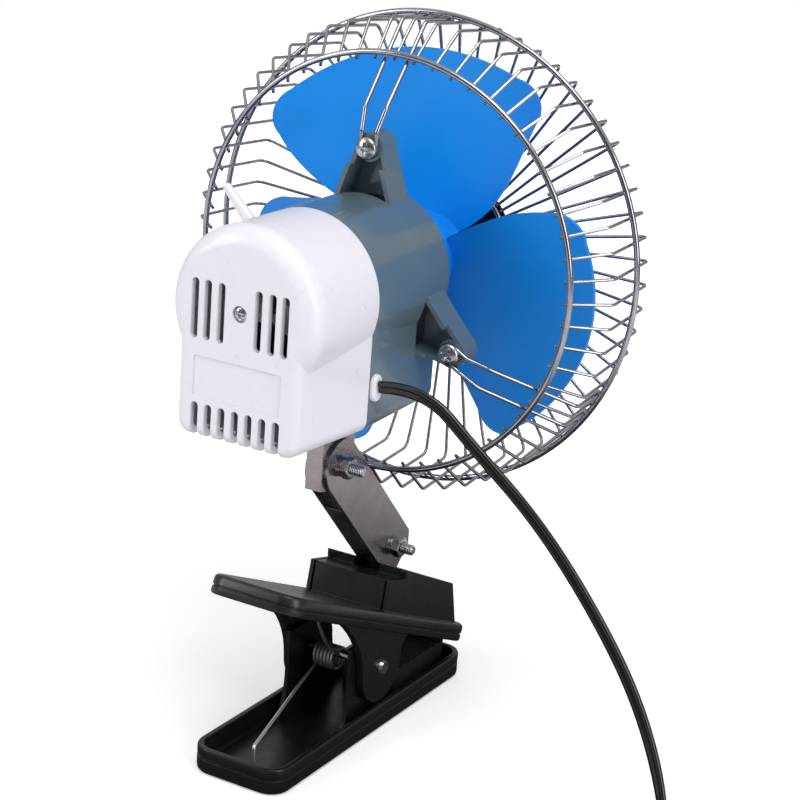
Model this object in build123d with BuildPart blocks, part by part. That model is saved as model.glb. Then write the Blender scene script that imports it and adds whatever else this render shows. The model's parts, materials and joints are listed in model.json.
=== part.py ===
from build123d import *
from math import asin, atan2, cos, pi, radians, sin, sqrt, tan
import os

# A 12 V clip fan, 6 inch size. Millimetres, +Z up, front of the fan towards -Y.
# Origin: on the ground under the middle of the fan's own box (cord left out).
# The right-hand side of the fan, where the cord comes out, is -X.

# ---------------------------------------------------------------- driving sizes
axis_z = 172.6            # height of the fan axis
ring_y = -15.7            # plane of the guard's rear ring
slip = 0.05               # radial clearance of a shaft or pin in its bore
gap = 0.3                 # clearance between pieces that pass each other
weld = 0.05               # gap left at a spot weld between two wires

# housing
head_r = 28.3             # round upper part of the housing
head_rear_r = 28.9        # the same at the rear face, drafted
head_drop = 45.0          # from the axis down to the flat bottom
head_front_half = 24.5    # half width of the square lower part, at its front
head_seam_half = 26.5     # at the seam
head_rear_half = 23.5     # at the rear face
seam_back = 47.2          # seam, behind the rear ring
head_back = 87.4          # rear face, behind the rear ring
wall = 2.2                # housing wall
round_over = 7.0          # rounding of the rear face round the top
corner_r = 5.0            # rounding along the bottom corners
lip_depth = 2.0           # lip of the front housing inside the cover
lip_wall = 1.2
lip_root = 0.5            # overlap of the lip with the housing wall

# rear vents, centred on the axis
slot_x = (7.18, 12.49, 17.44)
slot_w = 2.8
slot_len = 20.4
slot_mid_z = -1.1
comb_count = 7
comb_pitch = 5.32
comb_w = 2.9
comb_top = -32.9
comb_depth = 8.0          # how far the comb is cut into the bottom
label_half = 17.0
label_top, label_bottom = -17.0, -31.0
label_depth = 0.4

# guard lugs, at 0, 120 and 240 degrees from the top
lug_count = 3
lug_screw_r = 43.7        # screws, from the axis
lug_tip_r = 5.4           # half width at the tip
lug_root_half = 12.5      # half width where a lug meets the housing
lug_front = 3.0           # front plate of a lug, behind the rear ring
lug_depth = 12.0          # depth of its side walls
lug_wall = 1.8
screw_boss_back = 12.3    # face that the guard's legs are clamped to
screw_r = 1.75            # guard screws
screw_head_r = 3.5
screw_head_h = 2.3

# guard
outer_ring_r = 86.0
ring_step = 11.17         # the rear ring is smaller by this much
rear_ring_r = outer_ring_r - ring_step
rear_wire = 2.2
outer_ring_front = 29.5   # in front of the rear ring
outer_wire = 2.2
rib_count = 60
rib_wire = 1.5
bend_rear_front = 12.4    # the ribs' rear bend, in front of the rear ring
bend_front_front = 45.5   # the ribs' front bend
bend_spread = 1.4         # how far the bends stand off the wires' own line at the outer ring
rib_bend_r = 3.0
rib_tail = 1.5            # rib end inside the rear ring
inner_ring_r = 23.0
badge_r = 24.0
badge_t = 2.5
badge_front = 56.0        # front of the badge, in front of the rear ring
leg_half = 4.6            # legs beside the lug's direction, at the guard
leg_foot_half = 2.95      # and round the screw
leg_bend_share = 13.8 / 31.13    # of the way from the legs' screw to the rear ring
leg_bend_r = lug_screw_r + (rear_ring_r - lug_screw_r) * leg_bend_share
leg_bend_back = 10.0

# blades
blade_tip_r = 73.5
blade_count = 3
blade_t = 1.8
blade_mid_front = 28.0    # middle of the blades, in front of the rear ring
blade_root_s, blade_tip_s = 8.0, 76.0
blade_root_pitch, blade_tip_pitch = 0.42, 0.12   # slope across the blade
blade_camber = 3.0
hub_r = 15.0
hub_back_front, hub_front_front = 10.0, 37.0
hub_wall = 2.0

# motor and oscillating gear
shaft_r = 1.15
can_r = 17.5
can_wall = 1.3
can_back = 48.0
cap_t = 3.0
magnet_t = 3.0
air_gap = 0.5
core_front, core_back = 18.0, 36.0
core_poles = 5
commutator_r = 3.5
worm_r = 3.2              # pitch radius
gear_module = 0.8
gear_teeth = 24
gear_t = 3.0
gear_back = 64.0          # the wheel's axis, behind the rear ring
gear_shaft_r = 1.5
arm_r = 8.0               # drive arm on the swing post
swing_angle = 45.0
swing_back = 24.0         # swing axis, behind the rear ring
post_r = 4.5
knob_angle = 45.0         # from the top towards +X
knob_back = 52.0
knob_stem_r = 2.35
knob_tip_r = 1.45
knob_reach = 44.7
knob_travel = 4.0

# link and neck
upper_bolt_y, upper_bolt_z = 8.3, 104.4
lower_bolt_y, lower_bolt_z = -32.7, 61.9
link_half_w = 10.15
link_outer = 4.6          # outer faces of the plates, from the middle plane
link_t = 1.2
bolt_r = 2.0
nut_flats = 7.0
nut_t = 3.2
washer_t = 0.9

# clip
jaw_half = 17.2
jaw_front, jaw_back = -71.7, 59.3
pivot_y, pivot_z = -8.4, 24.6
tray_h = 10.0
tray_floor = 2.2
tray_wall = 2.4
jaw_slope = 24.8
plate_top = 20.3          # top of the upper jaw above the pivot, square to the slope
plate_h = 5.6
plate_skin = 2.2
plate_front, plate_back = -58.7, 89.5   # along the slope, from the pivot
ear_t = 2.8
ear_r = 13.4
pin_r = 1.6
coil_r = 4.15             # torsion spring, to the middle of the wire
coil_wire = 1.3
coil_turns = 6

# cord
cord_w = 4.4
cord_coil_in, cord_coil_out, cord_coil_h = 20.0, 28.2, 9.2
plug_r = 10.3
plug_grip_r = 11.5
plug_contact_w = 3.0      # side contacts, pressed in as they stand in a socket
plug_contact_rise = 0.1

# ---------------------------------------------------------------- worked-out sizes
fan_axis = Axis((0, ring_y, axis_z), (0, 1, 0))
bottom_z = axis_z - head_drop
seam_y = ring_y + seam_back
rear_y = ring_y + head_back
front_y = ring_y
swing_y = ring_y + swing_back
floor_z = bottom_z + wall
wire_r = rib_wire / 2
rib_mid_r = outer_ring_r - outer_wire / 2 - wire_r - weld
bend_rear_r = rib_mid_r + bend_spread
bend_front_r = rib_mid_r - bend_spread
badge_back_y = ring_y - badge_front + badge_t
rib_front_y = badge_back_y + weld + wire_r

os.makedirs("parts", exist_ok=True)


def across(y):
    """Plane square to the fan axis at y, origin on the axis, facing the front."""
    return Plane(origin=(0, y, axis_z), x_dir=(1, 0, 0), z_dir=(0, -1, 0))


def side(x):
    """Plane of the side view at x: its own x runs to the rear, its own y up."""
    return Plane(origin=(x, 0, 0), x_dir=(0, 1, 0), z_dir=(1, 0, 0))


def level(z):
    """Horizontal plane at height z."""
    return Plane.XY.offset(z)


def save(piece, name):
    """Label a finished piece and write it to its own file."""
    piece.part.label = name
    export_step(piece.part, "parts/" + name + ".step")


# ================================================================ head: housing
def housing_form(inset, y_front, y_back, rear_round):
    """Round barrel with a square lower part, shrunk by inset, between two planes."""
    back_share = max(0.0, (y_back - seam_y) / (rear_y - seam_y))
    front_share = max(0.0, (seam_y - y_front) / (seam_y - front_y))
    half_back = head_seam_half - back_share * (head_seam_half - head_rear_half) - inset
    half_front = head_seam_half - front_share * (head_seam_half - head_front_half) - inset
    r_back = head_r + back_share * (head_rear_r - head_r) - inset
    drop = head_drop - inset
    with BuildPart() as lower:
        for y, half in ((y_back, half_back), (y_front, half_front)):
            with BuildSketch(across(y)):
                with Locations((0, -drop / 2)):
                    Rectangle(2 * half, drop)
        loft()
        low = lower.faces().sort_by(Axis.Z)[0]
        fillet(low.edges().filter_by(lambda e: abs((e % 0.5).Y) > 0.9), corner_r - inset / 2)
        if rear_round > 0:
            rim = lower.faces().sort_by(Axis.Y)[-1].edges()
            fillet(rim, rear_round * 0.5)
    with BuildPart() as barrel:
        for y, radius in ((y_back, r_back), (y_front, head_r - inset)):
            with BuildSketch(across(y)):
                Circle(radius)
        loft()
        if rear_round > 0:
            fillet(barrel.faces().sort_by(Axis.Y)[-1].edges(), rear_round)
    with BuildPart() as form:
        add(lower)
        add(barrel)
    return form.part


housing_out = housing_form(0, front_y, seam_y, 0)
housing_in = housing_form(wall, front_y + wall, seam_y, 0)
lip_root_form = housing_form(wall - lip_root, seam_y - wall, seam_y, 0)
lip_out = housing_form(wall + slip, seam_y - wall, seam_y + lip_depth, 0)
lip_in = housing_form(wall + lip_wall, seam_y - 2 * wall, seam_y + lip_depth, 0)
cover_out = housing_form(0, seam_y, rear_y, round_over)
cover_in = housing_form(wall, seam_y, rear_y - wall, round_over - wall)

grommet_y, grommet_z = seam_y - 3.2, 143.6
grommet_w, grommet_h = 5.4, 9.5
grommet_neck = 0.6        # how far the neck is smaller than the flange, all round
cord_exit_x = -(head_seam_half + 1.9)
guard_screw_back = ring_y + screw_boss_back + rib_wire + weld * 2


def lug_plane(index, y):
    """Plane of one lug at y: its own y points along the lug, away from the fan axis."""
    turn = radians(360 / lug_count * index)
    return Plane(origin=(0, y, axis_z), x_dir=(cos(turn), 0, -sin(turn)), z_dir=(0, -1, 0))


with BuildPart() as front_housing:
    add(housing_out)
    for index in range(lug_count):
        plane = lug_plane(index, ring_y + lug_front + lug_depth)
        with BuildSketch(plane):
            with BuildLine():
                tip = Line((-lug_tip_r, lug_screw_r), (-lug_root_half, head_r * 0.8))
                base = Line(tip @ 1, (lug_root_half, head_r * 0.8))
                other = Line(base @ 1, (lug_tip_r, lug_screw_r))
                ThreePointArc(other @ 1, (0, lug_screw_r + lug_tip_r), tip @ 0)
            make_face()
        extrude(amount=lug_depth)
        with BuildSketch(plane):
            with BuildLine():
                tip = Line((-lug_tip_r + lug_wall, lug_screw_r), (-lug_root_half + lug_wall, head_r * 0.8))
                base = Line(tip @ 1, (lug_root_half - lug_wall, head_r * 0.8))
                other = Line(base @ 1, (lug_tip_r - lug_wall, lug_screw_r))
                ThreePointArc(other @ 1, (0, lug_screw_r + lug_tip_r - lug_wall), tip @ 0)
            make_face()
        extrude(amount=lug_depth - lug_wall, mode=Mode.SUBTRACT)
        with BuildSketch(lug_plane(index, ring_y + screw_boss_back)):
            with Locations((0, lug_screw_r)):
                Circle(lug_tip_r - 0.5)
        extrude(amount=screw_boss_back - lug_front - 0.5)
        with BuildSketch(lug_plane(index, ring_y + lug_front + lug_depth)):
            with Locations((0, lug_screw_r)):
                Rectangle(4 * lug_tip_r, 2 * lug_tip_r + 2)
        extrude(amount=lug_front + lug_depth - screw_boss_back, mode=Mode.SUBTRACT)
    add(housing_in, mode=Mode.SUBTRACT)
    add(lip_root_form)
    add(lip_out)
    add(lip_in, mode=Mode.SUBTRACT)
    for index in range(lug_count):
        with BuildSketch(lug_plane(index, ring_y + screw_boss_back)):
            with Locations((0, lug_screw_r)):
                Circle(screw_r + slip)
        extrude(amount=screw_boss_back, mode=Mode.SUBTRACT)
    with BuildSketch(across(front_y + wall)):
        Circle(4.0 + slip)
    extrude(amount=wall, mode=Mode.SUBTRACT)
    with BuildSketch(level(bottom_z)):
        with Locations((0, swing_y)):
            Circle(post_r + slip)
    extrude(amount=wall, mode=Mode.SUBTRACT)
    with BuildSketch(Plane(origin=(-head_seam_half, grommet_y, grommet_z), x_dir=(0, 1, 0), z_dir=(-1, 0, 0))):
        SlotOverall(grommet_h - 2 * grommet_neck + 2 * slip, grommet_w - 2 * grommet_neck + 2 * slip, rotation=90)
    extrude(amount=2 * wall, both=True, mode=Mode.SUBTRACT)
save(front_housing, "front_housing")

knob_dir = (sin(radians(knob_angle)), 0, cos(radians(knob_angle)))
knob_y = ring_y + knob_back


def knob_plane(reach):
    """Plane square to the knob's own line, at a distance from the fan axis."""
    return Plane(origin=(knob_dir[0] * reach, knob_y, axis_z + knob_dir[2] * reach),
                 x_dir=(0, 1, 0), z_dir=knob_dir)


cover_screw_r = 1.5
cover_screw_head_r = 2.5
cover_recess_r = 2.8
cover_recess = 2.0
cover_boss_r = 4.6
cover_boss_front = rear_y - wall - 2.0

with BuildPart() as rear_cover:
    add(cover_out)
    add(cover_in, mode=Mode.SUBTRACT)
    with BuildSketch(across(rear_y - 1)):
        Circle(cover_boss_r)
    extrude(amount=rear_y - 1 - cover_boss_front)
    with BuildSketch(across(rear_y)):
        Circle(cover_recess_r)
    extrude(amount=cover_recess, mode=Mode.SUBTRACT)
    with BuildSketch(across(rear_y)):
        Circle(cover_screw_r + slip)
    extrude(amount=10, mode=Mode.SUBTRACT)
    with BuildSketch(across(rear_y)):
        with Locations(*[(sign * x, slot_mid_z) for sign in (-1, 1) for x in slot_x]):
            SlotOverall(slot_len, slot_w, rotation=90)
    extrude(amount=2 * wall, mode=Mode.SUBTRACT)
    comb_len = 2 * (head_drop + comb_top + 5)
    with BuildSketch(across(rear_y)):
        with Locations((0, comb_top - comb_len / 2)):
            with GridLocations(comb_pitch, 0, comb_count, 1):
                SlotOverall(comb_len, comb_w, rotation=90)
    extrude(amount=comb_depth, mode=Mode.SUBTRACT)
    with BuildSketch(across(rear_y)):
        with Locations((0, (label_top + label_bottom) / 2)):
            RectangleRounded(2 * label_half, label_top - label_bottom, 1)
    extrude(amount=label_depth, mode=Mode.SUBTRACT)
    with BuildSketch(knob_plane(head_r - 2 * wall)):
        Circle(knob_stem_r + slip)
    extrude(amount=3 * wall, mode=Mode.SUBTRACT)
save(rear_cover, "rear_cover")

with BuildPart() as cover_screw:
    with BuildSketch(across(rear_y - 0.1)):
        Circle(cover_screw_head_r)
    extrude(amount=cover_recess - 0.1)
    fillet(cover_screw.edges().sort_by(Axis.Y)[-1], 0.8)
    with BuildSketch(across(rear_y - cover_recess)):
        Circle(cover_screw_r)
    extrude(amount=7)
    with BuildSketch(across(rear_y)):
        Rectangle(2.6, 0.7)
        Rectangle(0.7, 2.6)
    extrude(amount=0.9, mode=Mode.SUBTRACT)
save(cover_screw, "cover_screw")

with BuildPart() as grommet:
    with BuildSketch(Plane(origin=(-head_seam_half - weld, grommet_y, grommet_z), x_dir=(0, 1, 0), z_dir=(-1, 0, 0))):
        SlotOverall(grommet_h, grommet_w, rotation=90)
    extrude(amount=-cord_exit_x - head_seam_half - weld)
    fillet(grommet.faces().sort_by(Axis.X)[0].edges(), 1.0)
    with BuildSketch(Plane(origin=(4.0 - head_seam_half, grommet_y, grommet_z), x_dir=(0, 1, 0), z_dir=(-1, 0, 0))):
        SlotOverall(grommet_h - 2 * grommet_neck, grommet_w - 2 * grommet_neck, rotation=90)
    extrude(amount=4.2)
save(grommet, "cord_grommet")

with BuildPart() as guard_screws:
    for index in range(lug_count):
        with BuildSketch(lug_plane(index, guard_screw_back)):
            with Locations((0, lug_screw_r)):
                Circle(screw_r)
        extrude(amount=guard_screw_back - ring_y - lug_front - 1)
        with BuildSketch(lug_plane(index, guard_screw_back + screw_head_h)):
            with Locations((0, lug_screw_r)):
                Circle(screw_head_r)
        extrude(amount=screw_head_h)
    rims = guard_screws.edges().filter_by(GeomType.CIRCLE).group_by(Axis.Y)[-1]
    fillet(rims, 1.2)
    for index in range(lug_count):
        with BuildSketch(lug_plane(index, guard_screw_back + screw_head_h)):
            with Locations((0, lug_screw_r)):
                Rectangle(3.6, 0.9)
                Rectangle(0.9, 3.6)
        extrude(amount=1.1, mode=Mode.SUBTRACT)
save(guard_screws, "guard_screws")


# ================================================================ head: guard
def ring(radius, y, wire):
    """Round wire ring about the fan axis."""
    with BuildPart() as made:
        with BuildSketch(side(0)):
            with Locations((y, axis_z + radius)):
                Circle(wire / 2)
        revolve(axis=fan_axis)
    return made


rear_ring = ring(rear_ring_r, ring_y, rear_wire)
save(rear_ring, "guard_rear_ring")
outer_ring = ring(outer_ring_r, ring_y - outer_ring_front, outer_wire)
save(outer_ring, "guard_outer_ring")
dome_slope = (rib_front_y - ring_y + bend_front_front) / (badge_r - 3 - bend_front_r)
inner_ring_y = rib_front_y + dome_slope * (inner_ring_r - badge_r + 3) + rib_wire + 2 * weld
inner_ring = ring(inner_ring_r, inner_ring_y, rib_wire)
save(inner_ring, "guard_inner_ring")

# a rib starts inside the rear ring, touches it and runs on to the bend
stand_off = rear_wire / 2 + wire_r + weld
ring_to_bend = sqrt(bend_rear_front ** 2 + (bend_rear_r - rear_ring_r) ** 2)
rib_angle = atan2(rear_ring_r - bend_rear_r, -bend_rear_front) + asin(stand_off / ring_to_bend)
rib_run = sqrt(ring_to_bend ** 2 - stand_off ** 2) + rib_tail
start_front = bend_rear_front + rib_run * cos(rib_angle)
start_r = bend_rear_r + rib_run * sin(rib_angle)
rib_points = [
    (ring_y - start_front, start_r),
    (ring_y - bend_rear_front, bend_rear_r),
    (ring_y - bend_front_front, bend_front_r),
    (rib_front_y, badge_r - 3),
]

with BuildPart() as guard_ribs:
    with BuildLine(side(0)):
        path = FilletPolyline(*[(y, axis_z + r) for y, r in rib_points], radius=rib_bend_r)
    with BuildSketch(Plane(origin=path @ 0, z_dir=path % 0)):
        RegularPolygon(wire_r - weld, 8)
    sweep(path=path)
one_rib = guard_ribs.part
rib_set = [one_rib.rotate(fan_axis, 360 / rib_count * index) for index in range(rib_count)]
guard_ribs.part = Compound(children=rib_set)
save(guard_ribs, "guard_ribs")


def run_r(radius, half):
    """Height along a lug's direction of a point at this radius and this far beside it."""
    return sqrt(radius ** 2 - half ** 2)


leg_tail = 2.0            # leg end past the outer ring
leg_end_r = rib_mid_r - bend_spread * leg_tail / (outer_ring_front - bend_rear_front)
leg_rows = [
    (leg_half, run_r(leg_end_r, leg_half), ring_y - outer_ring_front - leg_tail),
    (leg_half, run_r(bend_rear_r, leg_half), ring_y - bend_rear_front),
    (leg_half * 0.9, leg_bend_r, ring_y + leg_bend_back),
    (leg_foot_half, lug_screw_r + 6.0, ring_y + screw_boss_back + 2 * weld + wire_r),
    (leg_foot_half, lug_screw_r - leg_foot_half, ring_y + screw_boss_back + 2 * weld + wire_r),
]
leg_corner_radii = [3.0, 6.0, 2.5, leg_foot_half - 0.02, leg_foot_half - 0.02, 2.5, 6.0, 3.0]
leg_points = [(-half, run, y) for half, run, y in leg_rows]
leg_points += [(half, run, y) for half, run, y in reversed(leg_rows)]

with BuildPart() as guard_legs:
    with BuildLine():
        leg_path = FilletPolyline(*[(x, y, axis_z + run) for x, run, y in leg_points], radius=leg_corner_radii)
    with BuildSketch(Plane(origin=leg_path @ 0, z_dir=leg_path % 0)):
        Circle(wire_r)
    sweep(path=leg_path)
one_leg = guard_legs.part
leg_set = [one_leg.rotate(fan_axis, 360 / lug_count * index) for index in range(lug_count)]
guard_legs.part = Compound(children=leg_set)
save(guard_legs, "guard_legs")

badge_edge = 0.8
badge_rise = badge_t - badge_edge
dome_r = (badge_r ** 2 + badge_rise ** 2) / (2 * badge_rise)
dome_mid_y = badge_back_y - badge_t + dome_r - sqrt(dome_r ** 2 - (badge_r / 2) ** 2)
with BuildPart() as badge:
    with BuildSketch(side(0)):
        with BuildLine():
            rim = Polyline((badge_back_y, axis_z), (badge_back_y, axis_z + badge_r),
                           (badge_back_y - badge_edge, axis_z + badge_r))
            dome = ThreePointArc(rim @ 1, (dome_mid_y, axis_z + badge_r / 2), (badge_back_y - badge_t, axis_z))
            Line(dome @ 1, rim @ 0)
        make_face()
    revolve(axis=fan_axis)
save(badge, "guard_badge")


# ================================================================ fan
def blade_strip(s, pitch):
    """Cambered strip across the blade, at distance s out from the fan axis."""
    reach = 60.0
    bow = blade_camber
    mid = ring_y - blade_mid_front
    with BuildSketch(Plane(origin=(0, 0, axis_z + s), x_dir=(-1, 0, 0), z_dir=(0, 0, 1))) as strip:
        with BuildLine():
            front = ThreePointArc((-reach, -(mid + pitch * reach)), (0, -(mid - bow)), (reach, -(mid - pitch * reach)))
            end = Line(front @ 1, (reach, -(mid - pitch * reach) - blade_t))
            rear = ThreePointArc(end @ 1, (0, -(mid - bow) - blade_t), (-reach, -(mid + pitch * reach) - blade_t))
            Line(rear @ 1, front @ 0)
        make_face()
    return strip.sketch


def polar(r, angle):
    """Point of the blade's outline: angle from the blade's own line, + towards -X."""
    return (r * sin(radians(angle)), r * cos(radians(angle)))


root_strip = blade_strip(blade_root_s, blade_root_pitch)
tip_strip = blade_strip(blade_tip_s, blade_tip_pitch)

with BuildPart() as blade:
    add(root_strip)
    add(tip_strip)
    loft()
    with BuildSketch(Plane(origin=(0, ring_y, axis_z), x_dir=(-1, 0, 0), z_dir=(0, 1, 0))):
        with BuildLine():
            lead = Spline(polar(hub_r - 2, -62), polar(22, -61), polar(50, -58.5), polar(64, -55))
            tip = ThreePointArc(polar(blade_tip_r, -44), polar(blade_tip_r, -10), polar(blade_tip_r, 25))
            ThreePointArc(lead @ 1, polar(71.5, -51.5), tip @ 0)
            trail = Spline(polar(66, 36), polar(44, 43), polar(24, 54), polar(hub_r - 2, 56))
            ThreePointArc(tip @ 1, polar(71.5, 33), trail @ 0)
            Line(trail @ 1, lead @ 0)
        make_face()
    extrude(amount=-60, mode=Mode.INTERSECT)
one_blade = blade.part

with BuildPart() as fan_blades:
    with BuildSketch(side(0)):
        hub_back_y, hub_front_y = ring_y - hub_back_front, ring_y - hub_front_front
        with BuildLine():
            Polyline(
                (hub_front_y, axis_z), (hub_front_y, axis_z + hub_r - 3), (hub_front_y + 3, axis_z + hub_r),
                (hub_back_y, axis_z + hub_r), (hub_back_y, axis_z + hub_r - hub_wall),
                (hub_front_y + 4, axis_z + hub_r - hub_wall - 1), (hub_front_y + 4, axis_z + 4),
                (hub_back_y, axis_z + 4), (hub_back_y, axis_z), close=True)
        make_face()
    revolve(axis=fan_axis)
    for index in range(blade_count):
        add(one_blade.rotate(fan_axis, 360 / blade_count * index))
    with BuildSketch(across(hub_back_y)):
        Circle(hub_r - hub_wall)
    extrude(amount=hub_back_y - hub_front_y - 4, mode=Mode.SUBTRACT)
    with BuildSketch(across(hub_back_y)):
        Circle(4)
    extrude(amount=hub_back_y - hub_front_y - 4)
    with BuildSketch(across(hub_back_y)):
        Circle(shaft_r)
    extrude(amount=hub_back_y - hub_front_y - 2, mode=Mode.SUBTRACT)
save(fan_blades, "fan_blades")

# ================================================================ motor
def turned(points):
    """Solid of revolution about the fan axis: (distance behind the rear ring, radius) points."""
    with BuildPart() as made:
        with BuildSketch(side(0)):
            with BuildLine():
                Polyline(*[(ring_y + y, axis_z + r) for y, r in points], close=True)
            make_face()
        revolve(axis=fan_axis)
    return made


can_front = wall
can_end = can_back
cap_back = can_end + cap_t
bush_r = 4.0
motor_can = turned([
    (can_front, bush_r + slip), (can_front, can_r), (can_end, can_r), (can_end, can_r - can_wall),
    (can_front + can_wall, can_r - can_wall), (can_front + can_wall, bush_r + slip)])
save(motor_can, "motor_can")

motor_end_cap = turned([
    (can_end, can_r), (cap_back, can_r - 1), (cap_back, bush_r + slip), (can_end, bush_r + slip)])
save(motor_end_cap, "motor_end_cap")

bush_len = 4.0
with BuildPart() as shaft_bushes:
    for start in (can_front - wall, cap_back - bush_len + 1):
        with BuildSketch(across(ring_y + start + bush_len)):
            Circle(bush_r)
            Circle(shaft_r + slip, mode=Mode.SUBTRACT)
        extrude(amount=bush_len)
save(shaft_bushes, "shaft_bushes")

magnet_out = can_r - can_wall
magnet_in = magnet_out - magnet_t
with BuildPart() as magnets:
    with BuildSketch(across(ring_y + core_back + 4)):
        Circle(magnet_out)
        Circle(magnet_in, mode=Mode.SUBTRACT)
        Rectangle(14, 2 * can_r, mode=Mode.SUBTRACT)
    extrude(amount=core_back - core_front + 8)
save(magnets, "motor_magnets")

core_r = magnet_in - air_gap
with BuildPart() as armature:
    with BuildSketch(across(ring_y + core_back)):
        Circle(core_r)
        with PolarLocations((core_r + 3.2) / 2, core_poles, 180 / core_poles):
            Rectangle(core_r - 3.2, 3.4, mode=Mode.SUBTRACT)
        with PolarLocations(7.0, core_poles, 180 / core_poles):
            Circle(2.6, mode=Mode.SUBTRACT)
        Circle(shaft_r + slip, mode=Mode.SUBTRACT)
    extrude(amount=core_back - core_front)
save(armature, "armature_core")

winding_h = 4.0
with BuildPart() as windings:
    for start in (core_front - winding_h - weld, core_back + weld):
        with BuildSketch(across(ring_y + start + winding_h)):
            Circle(core_r - 1.5)
            Circle(4.6, mode=Mode.SUBTRACT)
        extrude(amount=winding_h)
    fillet(windings.edges().filter_by(GeomType.CIRCLE).filter_by(lambda e: e.radius > core_r - 2), 1.4)
save(windings, "armature_windings")

commutator_front = core_back + winding_h + 0.4
commutator_len = 5.0
with BuildPart() as commutator:
    with BuildSketch(across(ring_y + commutator_front + commutator_len)):
        Circle(commutator_r)
        Circle(shaft_r + slip, mode=Mode.SUBTRACT)
        with PolarLocations(commutator_r, core_poles):
            Rectangle(1.2, 0.5, mode=Mode.SUBTRACT)
    extrude(amount=commutator_len)
save(commutator, "commutator")

brush_len = 4.0
with BuildPart() as brushes:
    with BuildSketch(across(ring_y + can_end)):
        with Locations((commutator_r + gap + brush_len / 2, 0), (-commutator_r - gap - brush_len / 2, 0)):
            Rectangle(brush_len, 3)
    extrude(amount=can_end - commutator_front - 1)
save(brushes, "motor_brushes")

shaft_front_y = ring_y - hub_front_front + 2
shaft_back = 74.0
with BuildPart() as motor_shaft:
    with BuildSketch(across(ring_y + shaft_back)):
        Circle(shaft_r)
    extrude(amount=ring_y + shaft_back - shaft_front_y)
save(motor_shaft, "motor_shaft")

# ---------------------------------------------------------------- worm and wheel
gear_r = gear_module * gear_teeth / 2
gear_y = ring_y + gear_back
gear_x = -(worm_r + gear_r)
tooth_pitch = pi * gear_module
tooth_up, tooth_down = gear_module, gear_module * 1.25
backlash = 0.5
thread_turns = 4
worm_core_r = worm_r - tooth_down
thread_foot = tooth_pitch / 2 - backlash + 2 * tooth_down * tan(radians(20)) * 0.5
thread_tip = thread_foot - 2 * (tooth_up + tooth_down) * tan(radians(20)) * 0.6

thread_start = gear_y - tooth_pitch * thread_turns / 2
thread_place = Plane(origin=(0, thread_start, axis_z), x_dir=(-1, 0, 0), z_dir=(0, 1, 0)).location
thread_line = Helix(tooth_pitch, tooth_pitch * thread_turns, worm_core_r - 0.3).moved(thread_place)
with BuildPart() as worm:
    with BuildSketch(Plane(origin=(0, thread_start, axis_z), x_dir=(-1, 0, 0), z_dir=(0, 0, 1))):
        with BuildLine():
            Polyline((worm_core_r - 0.3, -thread_foot / 2), (worm_r + tooth_up - gap, -thread_tip / 2),
                     (worm_r + tooth_up - gap, thread_tip / 2), (worm_core_r - 0.3, thread_foot / 2), close=True)
        make_face()
    sweep(path=thread_line, is_frenet=True)
    with BuildSketch(across(gear_y + tooth_pitch * (thread_turns + 1) / 2)):
        Circle(worm_core_r)
    extrude(amount=tooth_pitch * (thread_turns + 1))
    with BuildSketch(across(gear_y + tooth_pitch * thread_turns)):
        Circle(shaft_r + slip)
    extrude(amount=2 * tooth_pitch * thread_turns, mode=Mode.SUBTRACT)
save(worm, "worm")

tooth_half = tooth_pitch / 4 - backlash / 2
with BuildPart() as worm_wheel:
    with BuildSketch(level(axis_z - gear_t / 2)):
        with Locations((gear_x, gear_y)):
            Circle(gear_r - tooth_down)
            with PolarLocations(gear_r - tooth_down - 0.5, gear_teeth, 180 / gear_teeth):
                Trapezoid(2 * tooth_half + 1.0, tooth_up + tooth_down + 0.5 - gap, 70, rotation=-90,
                          align=(Align.CENTER, Align.MIN))
            Circle(gear_shaft_r + slip, mode=Mode.SUBTRACT)
    extrude(amount=gear_t)
save(worm_wheel, "worm_wheel")

# oscillating linkage, from the floor of the housing up
clip_z = floor_z + 0.1
clip_t = 1.0
arm_z = clip_z + clip_t + 0.3
arm_t = 2.0
rod_z = arm_z + arm_t + 0.2
rod_t = 2.5
crank_throw = arm_r * sin(radians(swing_angle))
pivot_pin_r = 1.25
crank_pin_z = rod_z + rod_t + 0.4
crank_z = crank_pin_z + 2.1
crank_t = 2.5
frame_arm_low_z = axis_z - 20.0
frame_arm_high_z = axis_z + 7.0
frame_arm_t = 2.2
gear_shaft_top = frame_arm_high_z + frame_arm_t + 1.0

with BuildPart() as gear_shaft:
    with BuildSketch(level(crank_z)):
        with Locations((gear_x, gear_y)):
            Circle(gear_shaft_r)
    extrude(amount=gear_shaft_top - crank_z)
save(gear_shaft, "gear_shaft")

with BuildPart() as crank:
    with BuildSketch(level(crank_z)):
        with Locations((gear_x, gear_y)):
            Circle(crank_throw + 2.2)
            Circle(gear_shaft_r, mode=Mode.SUBTRACT)
    extrude(amount=crank_t)
    with BuildSketch(level(crank_pin_z)):
        with Locations((gear_x + crank_throw, gear_y)):
            Circle(pivot_pin_r)
    extrude(amount=crank_z - crank_pin_z)
save(crank, "crank_disc")

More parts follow.
